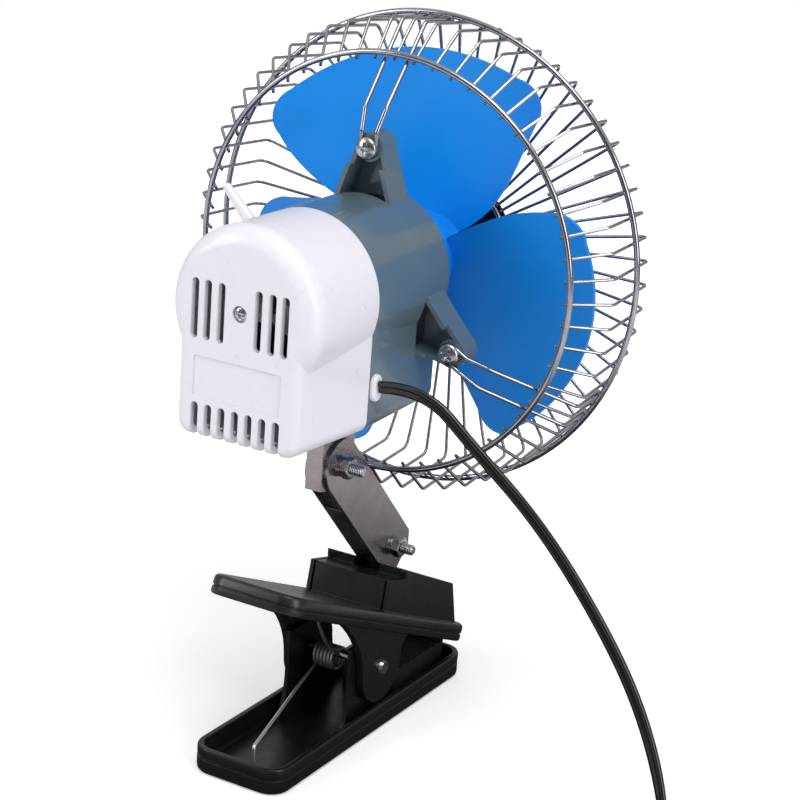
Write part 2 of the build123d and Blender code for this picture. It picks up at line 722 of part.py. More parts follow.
frame_front = cap_back + 0.1
frame_t = 2.2
frame_w = 8.0             # width of the frame's arms and legs
frame_plate_h = 12.0
frame_leg_t = 2.5
leg_x = 7.0
bridge_back = shaft_back + 2.0
with BuildPart() as gear_frame:
    with BuildSketch(across(ring_y + frame_front + frame_t)):
        Rectangle(2 * can_r - frame_w, frame_plate_h)
        with Locations((gear_x, 0)):
            Rectangle(frame_w, 2 * (frame_arm_high_z + frame_arm_t - axis_z))
        with Locations((gear_x, (frame_arm_low_z - axis_z) / 2)):
            Rectangle(frame_w, axis_z - frame_arm_low_z)
        Circle(bush_r + slip, mode=Mode.SUBTRACT)
    extrude(amount=frame_t)
    for arm_low in (frame_arm_low_z, frame_arm_high_z):
        with BuildSketch(level(arm_low)):
            with Locations((gear_x, (ring_y + frame_front + gear_y) / 2)):
                Rectangle(frame_w, gear_y - ring_y - frame_front)
            with Locations((gear_x, gear_y)):
                Circle(frame_w / 2)
                Circle(gear_shaft_r + slip, mode=Mode.SUBTRACT)
        extrude(amount=frame_arm_t)
    with BuildSketch(across(ring_y + bridge_back + frame_t)):
        with Locations(((leg_x + frame_leg_t - frame_w / 2) / 2, 0)):
            Rectangle(leg_x + frame_leg_t + frame_w / 2, frame_w)
    extrude(amount=frame_t)
    with BuildSketch(across(ring_y + bridge_back + frame_t)):
        with Locations((leg_x + frame_leg_t / 2, 0)):
            Rectangle(frame_leg_t, frame_w)
    extrude(amount=bridge_back + frame_t - frame_front)
    with BuildSketch(across(cover_boss_front - weld)):
        Circle(3.6)
    extrude(amount=cover_boss_front - weld - ring_y - bridge_back)
    with BuildSketch(across(cover_boss_front)):
        Circle(cover_screw_r + slip)
    extrude(amount=cover_boss_front - ring_y - bridge_back + 1, mode=Mode.SUBTRACT)
save(gear_frame, "gear_frame")

# ---------------------------------------------------------------- oscillation knob
collar_r, collar_t = 3.6, 1.2
collar_reach = head_r - wall - knob_travel - collar_t - 1.5
with BuildPart() as knob:
    with BuildSketch(knob_plane(collar_reach)):
        Circle(collar_r)
    extrude(amount=collar_t)
    with BuildSketch(knob_plane(collar_reach)):
        Circle(knob_stem_r)
    extrude(amount=head_r + 0.6 - collar_reach)
    with BuildSketch(knob_plane(head_r + 0.6)):
        Circle(knob_stem_r)
    with BuildSketch(knob_plane(knob_reach)):
        Circle(knob_tip_r)
    loft()
    fillet(knob.edges().sort_by(Axis(origin=(0, 0, 0), direction=knob_dir))[-1], 0.8)
save(knob, "oscillation_knob")

# ================================================================ neck
tongue_half = link_outer - link_t - 0.1
tongue_r = 9.5
tongue_rear = 12.5
tongue_low = 6.4
flange_z = bottom_z - 0.2
flange_t = 1.6
flange_r = 6.6
with BuildPart() as neck_tongue:
    with BuildSketch(side(-tongue_half)):
        with BuildLine():
            base = Line((upper_bolt_y + tongue_rear, upper_bolt_z - tongue_low),
                        (upper_bolt_y + tongue_rear, flange_z - flange_t))
            top = Line(base @ 1, (upper_bolt_y - tongue_r, flange_z - flange_t))
            down = Line(top @ 1, (upper_bolt_y - tongue_r, upper_bolt_z))
            turn = ThreePointArc(down @ 1, (upper_bolt_y - tongue_r * 0.6, upper_bolt_z - tongue_r * 0.8),
                                 (upper_bolt_y, upper_bolt_z - tongue_r))
            Line(turn @ 1, base @ 0)
        make_face()
        with Locations((upper_bolt_y, upper_bolt_z)):
            Circle(bolt_r + slip, mode=Mode.SUBTRACT)
    extrude(amount=2 * tongue_half)
    fillet(neck_tongue.edges().filter_by(lambda e: abs((e % 0.5).Z) > 0.99 and e.center().Y > upper_bolt_y), 1.2)
    with BuildSketch(level(flange_z - flange_t)):
        with Locations((0, swing_y)):
            Circle(flange_r)
    extrude(amount=flange_t)
save(neck_tongue, "neck_tongue")

with BuildPart() as swing_post:
    with BuildSketch(level(flange_z)):
        with Locations((0, swing_y)):
            Circle(post_r)
    extrude(amount=arm_z - flange_z)
save(swing_post, "swing_post")

with BuildPart() as post_clip:
    with BuildSketch(level(clip_z)):
        with Locations((0, swing_y)):
            Circle(post_r + 2.4)
            Circle(post_r + slip, mode=Mode.SUBTRACT)
        with Locations((0, swing_y - post_r - 2)):
            Rectangle(4, 6, mode=Mode.SUBTRACT)
    extrude(amount=clip_t)
save(post_clip, "post_clip")

with BuildPart() as drive_arm:
    with BuildSketch(level(arm_z)):
        with Locations((0, swing_y)):
            Circle(post_r)
        with Locations((-arm_r / 2, swing_y)):
            SlotCenterToCenter(arm_r, 6)
    extrude(amount=arm_t)
    with BuildSketch(level(arm_z + arm_t)):
        with Locations((-arm_r, swing_y)):
            Circle(pivot_pin_r)
    extrude(amount=rod_t + 0.1)
save(drive_arm, "drive_arm")

rod_far_x, rod_far_y = gear_x + crank_throw, gear_y
rod_len = sqrt((rod_far_x + arm_r) ** 2 + (rod_far_y - swing_y) ** 2)
rod_plane = Plane(origin=(-arm_r, swing_y, rod_z), x_dir=(rod_far_x + arm_r, rod_far_y - swing_y, 0), z_dir=(0, 0, 1))
with BuildPart() as drive_rod:
    with BuildSketch(rod_plane):
        with Locations((rod_len / 2, 0)):
            Rectangle(rod_len, 3.2)
        with Locations((0, 0), (rod_len, 0)):
            Circle(3)
        with Locations((0, 0), (rod_len, 0)):
            Circle(pivot_pin_r + slip, mode=Mode.SUBTRACT)
    extrude(amount=rod_t)
save(drive_rod, "drive_rod")

# ================================================================ link
link_dir = Vector(0, upper_bolt_y - lower_bolt_y, upper_bolt_z - lower_bolt_z)
link_len = link_dir.length
link_unit = link_dir.normalized()
link_end = 10.0           # from the lower bolt to the square end
link_clip = 4.0
web_top_gap = 16.0        # web starts this far below the upper bolt
web_foot = 8.5            # and ends this far above the lower one
pocket_half = 5.5


def link_plane(x):
    """Side plane at x whose own x runs up the link from the lower bolt, own y to the front."""
    return Plane(origin=(x, lower_bolt_y, lower_bolt_z), x_dir=tuple(link_unit), z_dir=(1, 0, 0))


with BuildPart() as link_channel:
    for x in (-link_outer, link_outer - link_t):
        with BuildSketch(link_plane(x)):
            with BuildLine():
                lower = Polyline((link_len, -link_half_w), (link_clip - link_end, -link_half_w),
                                 (-link_end, link_clip - link_half_w), (-link_end, link_half_w - link_clip),
                                 (link_clip - link_end, link_half_w), (link_len, link_half_w))
                ThreePointArc(lower @ 1, (link_len + link_half_w, 0), lower @ 0)
            make_face()
            with Locations((0, 0), (link_len, 0)):
                Circle(bolt_r + slip, mode=Mode.SUBTRACT)
        extrude(amount=link_t)
    with BuildSketch(link_plane(-link_outer)):
        with Locations(((web_foot + link_len - web_top_gap) / 2, -link_half_w + link_t / 2)):
            Rectangle(link_len - web_top_gap - web_foot, link_t)
    extrude(amount=2 * link_outer)
save(link_channel, "link_channel")

bolt_head_t = 2.8
bolt_spots = [(lower_bolt_y, lower_bolt_z, 16.0), (upper_bolt_y, upper_bolt_z, 13.5)]
with BuildPart() as link_bolts:
    for y, z, reach in bolt_spots:
        with BuildSketch(side(-reach)):
            with Locations((y, z)):
                Circle(bolt_r)
        extrude(amount=reach + link_outer + weld)
        with BuildSketch(side(link_outer + weld)):
            with Locations((y, z)):
                RegularPolygon(nut_flats / 2, 6, major_radius=False)
        extrude(amount=bolt_head_t)
save(link_bolts, "link_bolts")

with BuildPart() as link_washers:
    for y, z, reach in bolt_spots:
        with BuildSketch(side(-link_outer - washer_t)):
            with Locations((y, z)):
                Circle(nut_flats / 2 + 0.1)
                Circle(bolt_r + slip, mode=Mode.SUBTRACT)
        extrude(amount=washer_t - weld)
save(link_washers, "link_washers")

with BuildPart() as link_nuts:
    for y, z, reach in bolt_spots:
        with BuildSketch(side(-link_outer - washer_t - weld - nut_t)):
            with Locations((y, z)):
                RegularPolygon(nut_flats / 2, 6, major_radius=False)
                Circle(bolt_r + slip, mode=Mode.SUBTRACT)
        extrude(amount=nut_t)
save(link_nuts, "link_nuts")

# ================================================================ clip: lower jaw
jaw_len = jaw_back - jaw_front
jaw_mid = (jaw_back + jaw_front) / 2
lower_ear_out = jaw_half - ear_t - gap - 0.2
with BuildPart() as lower_jaw:
    with BuildSketch(level(0)):
        with Locations((0, jaw_mid)):
            RectangleRounded(2 * jaw_half, jaw_len, 8.0)
    extrude(amount=tray_h)
    fillet(lower_jaw.faces().sort_by(Axis.Z)[0].edges(), 2.0)
    with BuildSketch(level(tray_floor)):
        with Locations((0, jaw_mid)):
            RectangleRounded(2 * (jaw_half - tray_wall), jaw_len - 2 * tray_wall, 8.0 - tray_wall)
    extrude(amount=tray_h, mode=Mode.SUBTRACT)
    with BuildSketch(level(tray_h * 0.62)):
        with Locations((0, jaw_mid)):
            RectangleRounded(2 * jaw_half + 1, jaw_len + 1, 8.0)
            RectangleRounded(2 * jaw_half - 1.2, jaw_len - 1.2, 7.4, mode=Mode.SUBTRACT)
    extrude(amount=0.9, mode=Mode.SUBTRACT)
    for x in (-lower_ear_out, lower_ear_out - ear_t):
        with BuildSketch(side(x)):
            with BuildLine():
                rear = Spline((pivot_y + 26.5, 1.0), (pivot_y + 26.0, 12.4), (pivot_y + 22.0, 19.3),
                              (pivot_y + 24.5, 30.0), (pivot_y + 24.0, 36.0))
                top = Line(rear @ 1, (pivot_y + 2, pivot_z + ear_r - 0.5))
                crown = ThreePointArc(top @ 1, (pivot_y - 9.1, pivot_z + 9.1), (pivot_y - ear_r + 0.5, pivot_z))
                foot = Line(crown @ 1, (pivot_y - 17, 1.0))
                Line(foot @ 1, rear @ 0)
            make_face()
            with Locations((pivot_y, pivot_z)):
                Circle(pin_r + slip, mode=Mode.SUBTRACT)
        extrude(amount=ear_t)
save(lower_jaw, "lower_jaw")

pad_front, pad_back = jaw_front + tray_wall + 1.5, -28.0
pad_half = 10.5
lower_pad_top = 13.0
with BuildPart() as lower_pad:
    with BuildSketch(side(-pad_half)):
        with BuildLine():
            teeth = 8
            step = (pad_back - pad_front) / teeth
            crest = [(pad_front + step * (i + 0.5 * k), lower_pad_top - 0.8 * k)
                     for i in range(teeth) for k in (0, 1)]
            Polyline((pad_front, tray_floor + weld), *crest, (pad_back, lower_pad_top),
                     (pad_back, tray_floor + weld), close=True)
        make_face()
    extrude(amount=2 * pad_half)
save(lower_pad, "lower_grip_pad")

rivet_head_r = 2.85
rivet_head_t = 1.2
with BuildPart() as pivot_pin:
    with BuildSketch(side(-jaw_half - weld)):
        with Locations((pivot_y, pivot_z)):
            Circle(pin_r)
    extrude(amount=2 * (jaw_half + weld))
    for x, direction in ((-jaw_half - weld, -1), (jaw_half + weld, 1)):
        with BuildSketch(side(x)):
            with Locations((pivot_y, pivot_z)):
                Circle(rivet_head_r)
        extrude(amount=direction * rivet_head_t, taper=20)
save(pivot_pin, "pivot_pin")

# ---------------------------------------------------------------- torsion spring
spring_y, spring_z = pivot_y + 0.6, pivot_z - 1.65
spring_x = -4.6           # the coil's first turn
spring_pitch = coil_wire + 0.2
spring_place = Plane(origin=(spring_x, spring_y, spring_z), x_dir=(0, 1, 0), z_dir=(1, 0, 0)).location
wind = Helix(spring_pitch, spring_pitch * coil_turns, coil_r).moved(spring_place)
with BuildPart() as spring_body:
    with BuildSketch(Plane(origin=wind @ 0, z_dir=wind % 0)):
        Circle(coil_wire / 2)
    sweep(path=wind, is_frenet=True)
with BuildPart() as spring_lower:
    with BuildLine():
        lower_leg = Polyline(wind @ 0.01, (-3.0, 44.0, 9.0), (-2.0, 49.5, tray_floor + 0.75))
    with BuildSketch(Plane(origin=lower_leg @ 0, z_dir=lower_leg % 0)):
        Circle(coil_wire / 2)
    sweep(path=lower_leg, transition=Transition.ROUND)
with BuildPart() as spring_upper:
    with BuildLine():
        far_x = spring_x + spring_pitch * coil_turns
        upper_leg = ThreePointArc(wind @ 0.99, (far_x, 6.0, 34.0), (far_x, 17.0, 46.4))
    with BuildSketch(Plane(origin=upper_leg @ 0, z_dir=upper_leg % 0)):
        Circle(coil_wire / 2)
    sweep(path=upper_leg)
with BuildPart() as torsion_spring:
    add(spring_body)
    add(spring_lower)
    add(spring_upper)
save(torsion_spring, "torsion_spring")

# ================================================================ clip: upper jaw
jaw_tilt = radians(jaw_slope)


def jaw_plane(w):
    """Plane along the upper jaw at height w above the pivot: own x to -X, own y to the rear."""
    up = (0, -sin(jaw_tilt), cos(jaw_tilt))
    return Plane(origin=(0, pivot_y + up[1] * w, pivot_z + up[2] * w), x_dir=(1, 0, 0), z_dir=up)


plate_len = plate_back - plate_front
plate_mid = (plate_back + plate_front) / 2
box_half_rear, box_half_front = 13.0, 16.0
box_wall = 2.0
pocket_r = 13.0
knuckle_half = link_outer - link_t - 0.1
knuckle_r = 6.5
box_rear = [(ring_y + 57.0, 70.0), (ring_y + 57.0, 79.8), (ring_y + 2.5, 58.6), (ring_y + 2.5, 40.0)]
box_front = [(ring_y + 2.5, 40.0), (ring_y + 2.5, 58.6), (ring_y - 45.3, 40.0), (ring_y - 49.8, 20.0)]

with BuildPart() as upper_jaw:
    with BuildSketch(jaw_plane(plate_top)):
        with Locations((0, plate_mid)):
            RectangleRounded(2 * jaw_half, plate_len, 8.0)
    extrude(amount=-plate_h)
    fillet(upper_jaw.faces().sort_by(Axis.Z)[-1].edges(), 1.5)
    for profile, half in ((box_rear, box_half_rear), (box_front, box_half_front)):
        with BuildSketch(side(-half)):
            with BuildLine():
                Polyline(*profile, close=True)
            make_face()
        extrude(amount=2 * half)
    with BuildSketch(jaw_plane(plate_top - plate_h)):
        with Locations((0, plate_mid)):
            RectangleRounded(2 * (jaw_half - tray_wall), plate_len - 2 * tray_wall, 8.0 - tray_wall)
    extrude(amount=plate_h - plate_skin, mode=Mode.SUBTRACT)
    for x in (-jaw_half, jaw_half - ear_t):
        with BuildSketch(side(x)):
            with BuildLine():
                Polyline((pivot_y - 29, 32), (pivot_y - 17, 29), (pivot_y - 12.5, 24.6), (pivot_y + 12.5, 24.6),
                         (pivot_y + 17, 34), (pivot_y + 22, 46), (pivot_y + 34, 56), (pivot_y - 24, 35),
                         close=True)
            make_face()
            with Locations((pivot_y, pivot_z)):
                Circle(ear_r)
                Circle(pin_r + slip, mode=Mode.SUBTRACT)
        extrude(amount=ear_t)
    with BuildSketch(side(-pocket_half)):
        with Locations((lower_bolt_y, lower_bolt_z)):
            Circle(pocket_r)
    extrude(amount=2 * pocket_half, mode=Mode.SUBTRACT)
    with BuildSketch(side(-knuckle_half)):
        with Locations((lower_bolt_y, lower_bolt_z)):
            Circle(knuckle_r)
            with Locations((1.5, -8)):
                Rectangle(2 * knuckle_r, 16)
            Circle(bolt_r + slip, mode=Mode.SUBTRACT)
    extrude(amount=2 * knuckle_half)
save(upper_jaw, "upper_jaw")

upper_pad_inset, upper_pad_len = 5.0, 32.0
upper_pad_rise = 0.9      # pad below the plate's rim
with BuildPart() as upper_pad:
    with BuildSketch(jaw_plane(plate_top - plate_skin - weld)):
        with Locations((0, plate_front + upper_pad_inset + upper_pad_len / 2)):
            Rectangle(2 * pad_half, upper_pad_len)
    extrude(amount=-(plate_h - plate_skin + upper_pad_rise))
save(upper_pad, "upper_grip_pad")

# ================================================================ cord and plug
cord_r = cord_w / 2
coil_x, coil_y = -128.0, 78.0
coil_line_r = cord_coil_out - 1.2
cord_points = [
    (cord_exit_x - 0.45, grommet_y, grommet_z + 0.6),
    (-46.0, grommet_y + 0.2, 147.5),
    (-67.0, 29.6, 131.5),
    (-92.0, 30.0, 113.0),
    (-115.0, 30.0, 88.0),
    (-134.0, 30.5, 62.0),
    (-147.0, 32.5, 34.0),
    (-153.5, 39.0, 11.0),
    (coil_x - coil_line_r, coil_y - 28.0, cord_r + 0.2),
    (coil_x - coil_line_r, coil_y - 17.1, cord_r + 0.2),
]


def bend_radii(points):
    """The largest arcs that the runs on both sides of each corner leave room for."""
    radii = []
    for before, corner, after in zip(points, points[1:], points[2:]):
        first = Vector(*corner) - Vector(*before)
        second = Vector(*after) - Vector(*corner)
        half_turn = radians(first.get_angle(second)) / 2
        radii.append(0.45 * min(first.length, second.length) / tan(half_turn))
    return radii


def cord_tube(points, name):
    """Round tube along straight runs and tangent arcs."""
    radii = bend_radii(points)
    with BuildPart() as tube:
        with BuildLine():
            route = FilletPolyline(*points, radius=radii)
        with BuildSketch(Plane(origin=route @ 0, z_dir=route % 0)):
            Circle(cord_r)
        sweep(path=route)
    print(name, "length", round(route.length, 1), "arc radii", [round(r, 1) for r in radii],
          "volume", round(tube.part.volume, 1), "section x length", round(pi * cord_r ** 2 * route.length, 1))
    return tube


power_cord = cord_tube(cord_points, "cord")
save(power_cord, "power_cord")

tie_t = 0.6
tie_x = coil_x + (cord_coil_in + cord_coil_out + 1.8) / 2
tie_in_w = cord_coil_out + 1.8 - cord_coil_in + 0.6
with BuildPart() as cord_coil:
    with BuildSketch(level(tie_t + 0.1)):
        with Locations((coil_x, coil_y)):
            Circle(cord_coil_out + 1.8)
            Circle(cord_coil_in, mode=Mode.SUBTRACT)
    extrude(amount=cord_coil_h)
    fillet(cord_coil.edges(), 1.5)
save(cord_coil, "cord_coil")

with BuildPart() as cord_tie:
    with BuildSketch(Plane.XZ.offset(-coil_y - 2.5)):
        with Locations((tie_x, tie_t + 0.1 + cord_coil_h / 2)):
            Rectangle(tie_in_w + 2 * tie_t, cord_coil_h + 0.2 + 2 * tie_t)
            Rectangle(tie_in_w, cord_coil_h + 0.2, mode=Mode.SUBTRACT)
    extrude(amount=5)
save(cord_tie, "cord_tie")

plug_y = coil_y + coil_line_r
plug_tail_x = -101.0
plug_lead_x = coil_x + 17.2
plug_lead_z = 8.4


def plug_plane(x):
    """Plane square to the plug at x, facing its tip."""
    return Plane(origin=(x, plug_y, plug_grip_r), x_dir=(0, 1, 0), z_dir=(1, 0, 0))


with BuildPart() as plug_lead:
    with BuildSketch(Plane(origin=(plug_lead_x, plug_y, plug_lead_z), x_dir=(0, 1, 0), z_dir=(1, 0, 0))):
        Circle(cord_r)
    extrude(amount=plug_tail_x - plug_lead_x)
save(plug_lead, "plug_lead")

plug_tail_len, plug_grip_len, plug_front_len, plug_cap_len = 14.0, 22.0, 16.0, 5.0
plug_slot_len, plug_slot_depth, plug_slot_gap = 12.0, 2.0, 0.2
plug_slot_x = plug_tail_x + plug_tail_len + plug_grip_len + 2
plug_front_x = plug_tail_x + weld + plug_tail_len + plug_grip_len + plug_front_len
with BuildPart() as plug_shell:
    with BuildSketch(Plane(origin=(plug_tail_x + weld, plug_y, plug_grip_r), x_dir=(1, 0, 0), z_dir=(0, 0, 1))):
        with BuildLine():
            Polyline((0, 0), (0, cord_r + 0.8), (plug_tail_len, cord_r + 2.2), (plug_tail_len + 1, plug_grip_r - 1.5),
                     (plug_tail_len + 5, plug_grip_r), (plug_tail_len + plug_grip_len, plug_r),
                     (plug_tail_len + plug_grip_len + plug_front_len, plug_r),
                     (plug_tail_len + plug_grip_len + plug_front_len, 0), close=True)
        make_face()
    revolve(axis=Axis((0, plug_y, plug_grip_r), (1, 0, 0)))
    for turn in (-1, 1):
        with BuildSketch(plug_plane(plug_slot_x)):
            with Locations((0, turn * plug_r)):
                Rectangle(plug_contact_w + 2 * plug_slot_gap, 2 * plug_slot_depth)
        extrude(amount=plug_slot_len, mode=Mode.SUBTRACT)
save(plug_shell, "plug_shell")

contact_len = plug_slot_len - 2 * gap
contact_foot = plug_r - plug_slot_depth + 0.1
with BuildPart() as plug_contacts:
    for turn in (-1, 1):
        with BuildSketch(Plane(origin=(plug_slot_x + gap, plug_y + plug_contact_w / 2, plug_grip_r),
                               x_dir=(1, 0, 0), z_dir=(0, -1, 0))):
            with BuildLine():
                inner = Line((0, turn * contact_foot), (contact_len, turn * contact_foot))
                ThreePointArc(inner @ 1, (contact_len / 2, turn * (plug_r + plug_contact_rise)), inner @ 0)
            make_face()
        extrude(amount=plug_contact_w)
save(plug_contacts, "plug_side_contacts")

with BuildPart() as plug_cap:
    with BuildSketch(plug_plane(plug_front_x + weld)):
        Circle(plug_r - 0.4)
        Circle(3.3 + slip, mode=Mode.SUBTRACT)
    extrude(amount=plug_cap_len, taper=12)
save(plug_cap, "plug_cap")

with BuildPart() as plug_tip:
    with BuildSketch(plug_plane(plug_front_x + weld)):
        Circle(3.3)
    extrude(amount=plug_cap_len + 3.5)
    fillet(plug_tip.edges().sort_by(Axis.X)[-1], 2.2)
save(plug_tip, "plug_tip")
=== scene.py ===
"""Looks of a 12 V clip fan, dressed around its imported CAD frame.

The fan stands on its spring clip and is seen from behind, a little above and from its
right-hand side. Sizes are written in millimetres and turned to metres by mm().
"""

import json
import logging
import math
from dataclasses import dataclass
from enum import Enum
from functools import cache
from typing import Callable, Protocol, Sequence

import bmesh
import bpy
from mathutils import Matrix, Vector


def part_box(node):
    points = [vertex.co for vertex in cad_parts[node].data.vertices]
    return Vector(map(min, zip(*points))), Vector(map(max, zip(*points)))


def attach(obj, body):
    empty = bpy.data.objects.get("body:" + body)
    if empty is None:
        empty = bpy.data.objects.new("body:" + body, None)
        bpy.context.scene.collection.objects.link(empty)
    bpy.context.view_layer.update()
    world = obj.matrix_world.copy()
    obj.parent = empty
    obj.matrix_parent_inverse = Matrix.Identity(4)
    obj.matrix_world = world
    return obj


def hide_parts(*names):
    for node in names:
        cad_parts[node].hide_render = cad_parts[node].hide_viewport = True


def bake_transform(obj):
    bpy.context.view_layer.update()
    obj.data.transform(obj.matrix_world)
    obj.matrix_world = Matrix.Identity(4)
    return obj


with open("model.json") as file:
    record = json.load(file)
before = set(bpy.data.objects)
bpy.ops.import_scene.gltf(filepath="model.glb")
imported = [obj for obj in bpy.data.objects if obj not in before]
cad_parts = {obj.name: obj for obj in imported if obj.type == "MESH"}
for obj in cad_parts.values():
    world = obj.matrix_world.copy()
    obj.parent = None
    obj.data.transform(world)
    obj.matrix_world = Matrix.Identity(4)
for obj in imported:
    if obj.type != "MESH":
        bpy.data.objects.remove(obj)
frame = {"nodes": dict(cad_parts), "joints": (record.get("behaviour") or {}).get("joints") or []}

LOG = logging.getLogger("clip_fan")
TURN = 2 * math.pi
WHITE = (1.0, 1.0, 1.0, 1.0)
Socket = bpy.types.NodeSocket

# Surfaces
PLASTIC_IOR = 1.53
GLOW_REACH = 1.5                # how far light spreads inside a pale plastic, mm
MOULD_GLOSS = 0.06              # roughness of the clear gloss of a polished mould
ENAMEL_GLOSS = 0.1              # roughness of a clear enamel
NOISE_MIDDLE = (0.3, 0.7)       # values between which nearly all of a noise lies
EDGE_SAMPLES = 4
PORES_PER_CLOUD = 12            # a darker area is this many pores wide
WAVE_SCALE = math.pi / 10       # at scale 1 the wave texture repeats every pi / 10


# ---------------------------------------------------------------- units and colours
def mm(length: float) -> float:
    """Return a length of millimetres in Blender's metres."""
    return length / 1000.0


def per_size(feature: float) -> float:
    """Return the texture scale whose pattern repeats about every feature millimetres."""
    return 1000.0 / feature


def held(value: float) -> float:
    """Return a value, held between 0 and 1."""
    return min(1.0, max(0.0, value))


def linear(hex_colour: str) -> tuple[float, float, float, float]:
    """Turn an sRGB hex colour into the linear colour that shaders take.

    Args:
        hex_colour: Colour such as "#1E8FE8".

    Returns:
        Red, green, blue and alpha, each 0 to 1, in linear light.
    """
    shares = [int(hex_colour[i:i + 2], 16) / 255 for i in (1, 3, 5)]
    red, green, blue = ((c / 12.92 if c <= 0.04045 else ((c + 0.055) / 1.055) ** 2.4) for c in shares)
    return red, green, blue, 1.0


# ---------------------------------------------------------------- shader nodes
def add_node(tree: bpy.types.NodeTree, kind: str, links: dict | None = None,
             **settings: object) -> bpy.types.Node:
    """Add one shader node with its settings and links.

    Args:
        tree: Node tree that gets the node.
        kind: Blender's type name of the node.
        links: Input names or numbers, each with the socket or plain value that feeds it.
        settings: Properties of the node itself.

    Returns:
        The new node.
    """
    node = tree.nodes.new(kind)
    for name, value in settings.items():
        setattr(node, name, value)
    for key, value in (links or {}).items():
        if isinstance(value, Socket):
            tree.links.new(value, node.inputs[key])
        else:
            node.inputs[key].default_value = value
    return node


class Coating:
    """A material under construction, with its shader and the piece's own coordinates."""

    def __init__(self, name: str, **shader: object) -> None:
        """Start a material whose shader has these plain socket values.

        Args:
            name: Name of the real material and of how its surface was made.
            shader: Socket names, with underscores for spaces, and their values.
        """
        self.material = bpy.data.materials.new(name)
        self.material.use_nodes = True
        self.tree = self.material.node_tree
        self.tree.nodes.clear()
        values = {key.replace("_", " "): value for key, value in shader.items()}
        self.shader = self.add("ShaderNodeBsdfPrincipled", values)
        self.add("ShaderNodeOutputMaterial", {"Surface": self.shader.outputs["BSDF"]})
        self.place = self.add("ShaderNodeTexCoord").outputs["Object"]

    def add(self, kind: str, links: dict | None = None, **settings: object) -> bpy.types.Node:
        """Add a node to this material, as add_node does."""
        return add_node(self.tree, kind, links, **settings)

    def feed(self, socket: str, source: Socket) -> None:
        """Link a source to one of the shader's sockets."""
        self.tree.links.new(source, self.shader.inputs[socket])

    def tone(self, share: Socket, first: str, second: str) -> None:
        """Colour the surface between two tones.

        Args:
            share: Pattern that is 0 where the first tone shows and 1 for the second.
            first: Hex colour of the first tone.
            second: Hex colour of the second tone.
        """
        mixed = self.add("ShaderNodeMix", {0: share, 6: linear(first), 7: linear(second)}, data_type="RGBA")
        self.feed("Base Color", mixed.outputs[2])

    def sheen(self, noise: Socket, limits: tuple[float, float]) -> None:
        """Let the roughness run between its limits.

        Args:
            noise: Pattern that spreads it over the surface.
            limits: Lowest and highest roughness.
        """
        rough = self.add("ShaderNodeMapRange", {"Value": noise, "From Min": NOISE_MIDDLE[0],
                                                "From Max": NOISE_MIDDLE[1], "To Min": limits[0],
                                                "To Max": limits[1]})
        self.feed("Roughness", rough.outputs["Result"])

    def relief(self, height: Socket, depth: float, edge: float = 0.0) -> None:
        """Raise a pattern from the surface and round the edges.

        Args:
            height: The pattern, 0 to 1.
            depth: Height of the pattern, mm.
            edge: Radius of the edges, mm, or 0 where they stay as they are.
        """
        links = {"Height": height, "Distance": mm(depth), "Strength": 1.0}
        if edge:
            rounded = self.add("ShaderNodeBevel", {"Radius": mm(edge)}, samples=EDGE_SAMPLES)
            links["Normal"] = rounded.outputs["Normal"]
        self.feed("Normal", self.add("ShaderNodeBump", links).outputs["Normal"])


class Finish(Protocol):
    """Anything that can give the Blender material of one real finish."""

    def material(self) -> bpy.types.Material:
        """Return the Blender material."""


@dataclass(frozen=True)
class MouldedPlastic:
    """Injection-moulded thermoplastic, from a polished or a lightly textured mould.

    Attributes:
        name: Real material and how its surface was made.
        colour: Colour where the melt cooled evenly.
        flow_colour: Colour along the melt's flow lines.
        roughness: Lowest and highest roughness over the surface.
        flow: Width of the flow lines, mm.
        grain: Width of the mould's texture, mm.
        grain_depth: Height of the mould's texture, mm.
        edge: Radius that the mould leaves on sharp edges, mm.
        glow: Share of light that enters the plastic and leaves it close by.
        coat: Weight of the clear gloss of a polished mould.
    """

    name: str
    colour: str
    flow_colour: str
    roughness: tuple[float, float]
    flow: float = 18.0
    grain: float = 0.6
    grain_depth: float = 0.01
    edge: float = 0.25
    glow: float = 0.0
    coat: float = 0.0

    @cache
    def material(self) -> bpy.types.Material:
        """Build the plastic once and return it."""
        made = Coating(self.name, IOR=PLASTIC_IOR, Subsurface_Weight=self.glow,
                       Subsurface_Scale=mm(GLOW_REACH), Coat_Weight=self.coat, Coat_Roughness=MOULD_GLOSS)
        flow = made.add("ShaderNodeTexNoise", {"Vector": made.place, "Scale": per_size(self.flow),
                                               "Detail": 4.0, "Distortion": 0.6})
        wear = made.add("ShaderNodeTexNoise", {"Vector": made.place, "Scale": per_size(self.flow / 3),
                                               "Detail": 6.0})
        grain = made.add("ShaderNodeTexNoise", {"Vector": made.place, "Scale": per_size(self.grain),
                                                "Detail": 2.0})
        waves = made.add("ShaderNodeTexNoise", {"Vector": made.place, "Scale": per_size(self.flow),
                                                "Detail": 1.0})
        skin = made.add("ShaderNodeMath", {0: grain.outputs["Fac"], 1: waves.outputs["Fac"]}, operation="ADD")
        made.tone(flow.outputs["Fac"], self.colour, self.flow_colour)
        made.sheen(wear.outputs["Fac"], self.roughness)
        made.relief(skin.outputs["Value"], self.grain_depth, self.edge)
        return made.material


class Drawn(Enum):
    """Direction in which a metal was drawn or brushed, as the stretch of its marks."""

    NONE = (1.0, 1.0, 1.0)
    ALONG_X = (0.03, 1.0, 1.0)


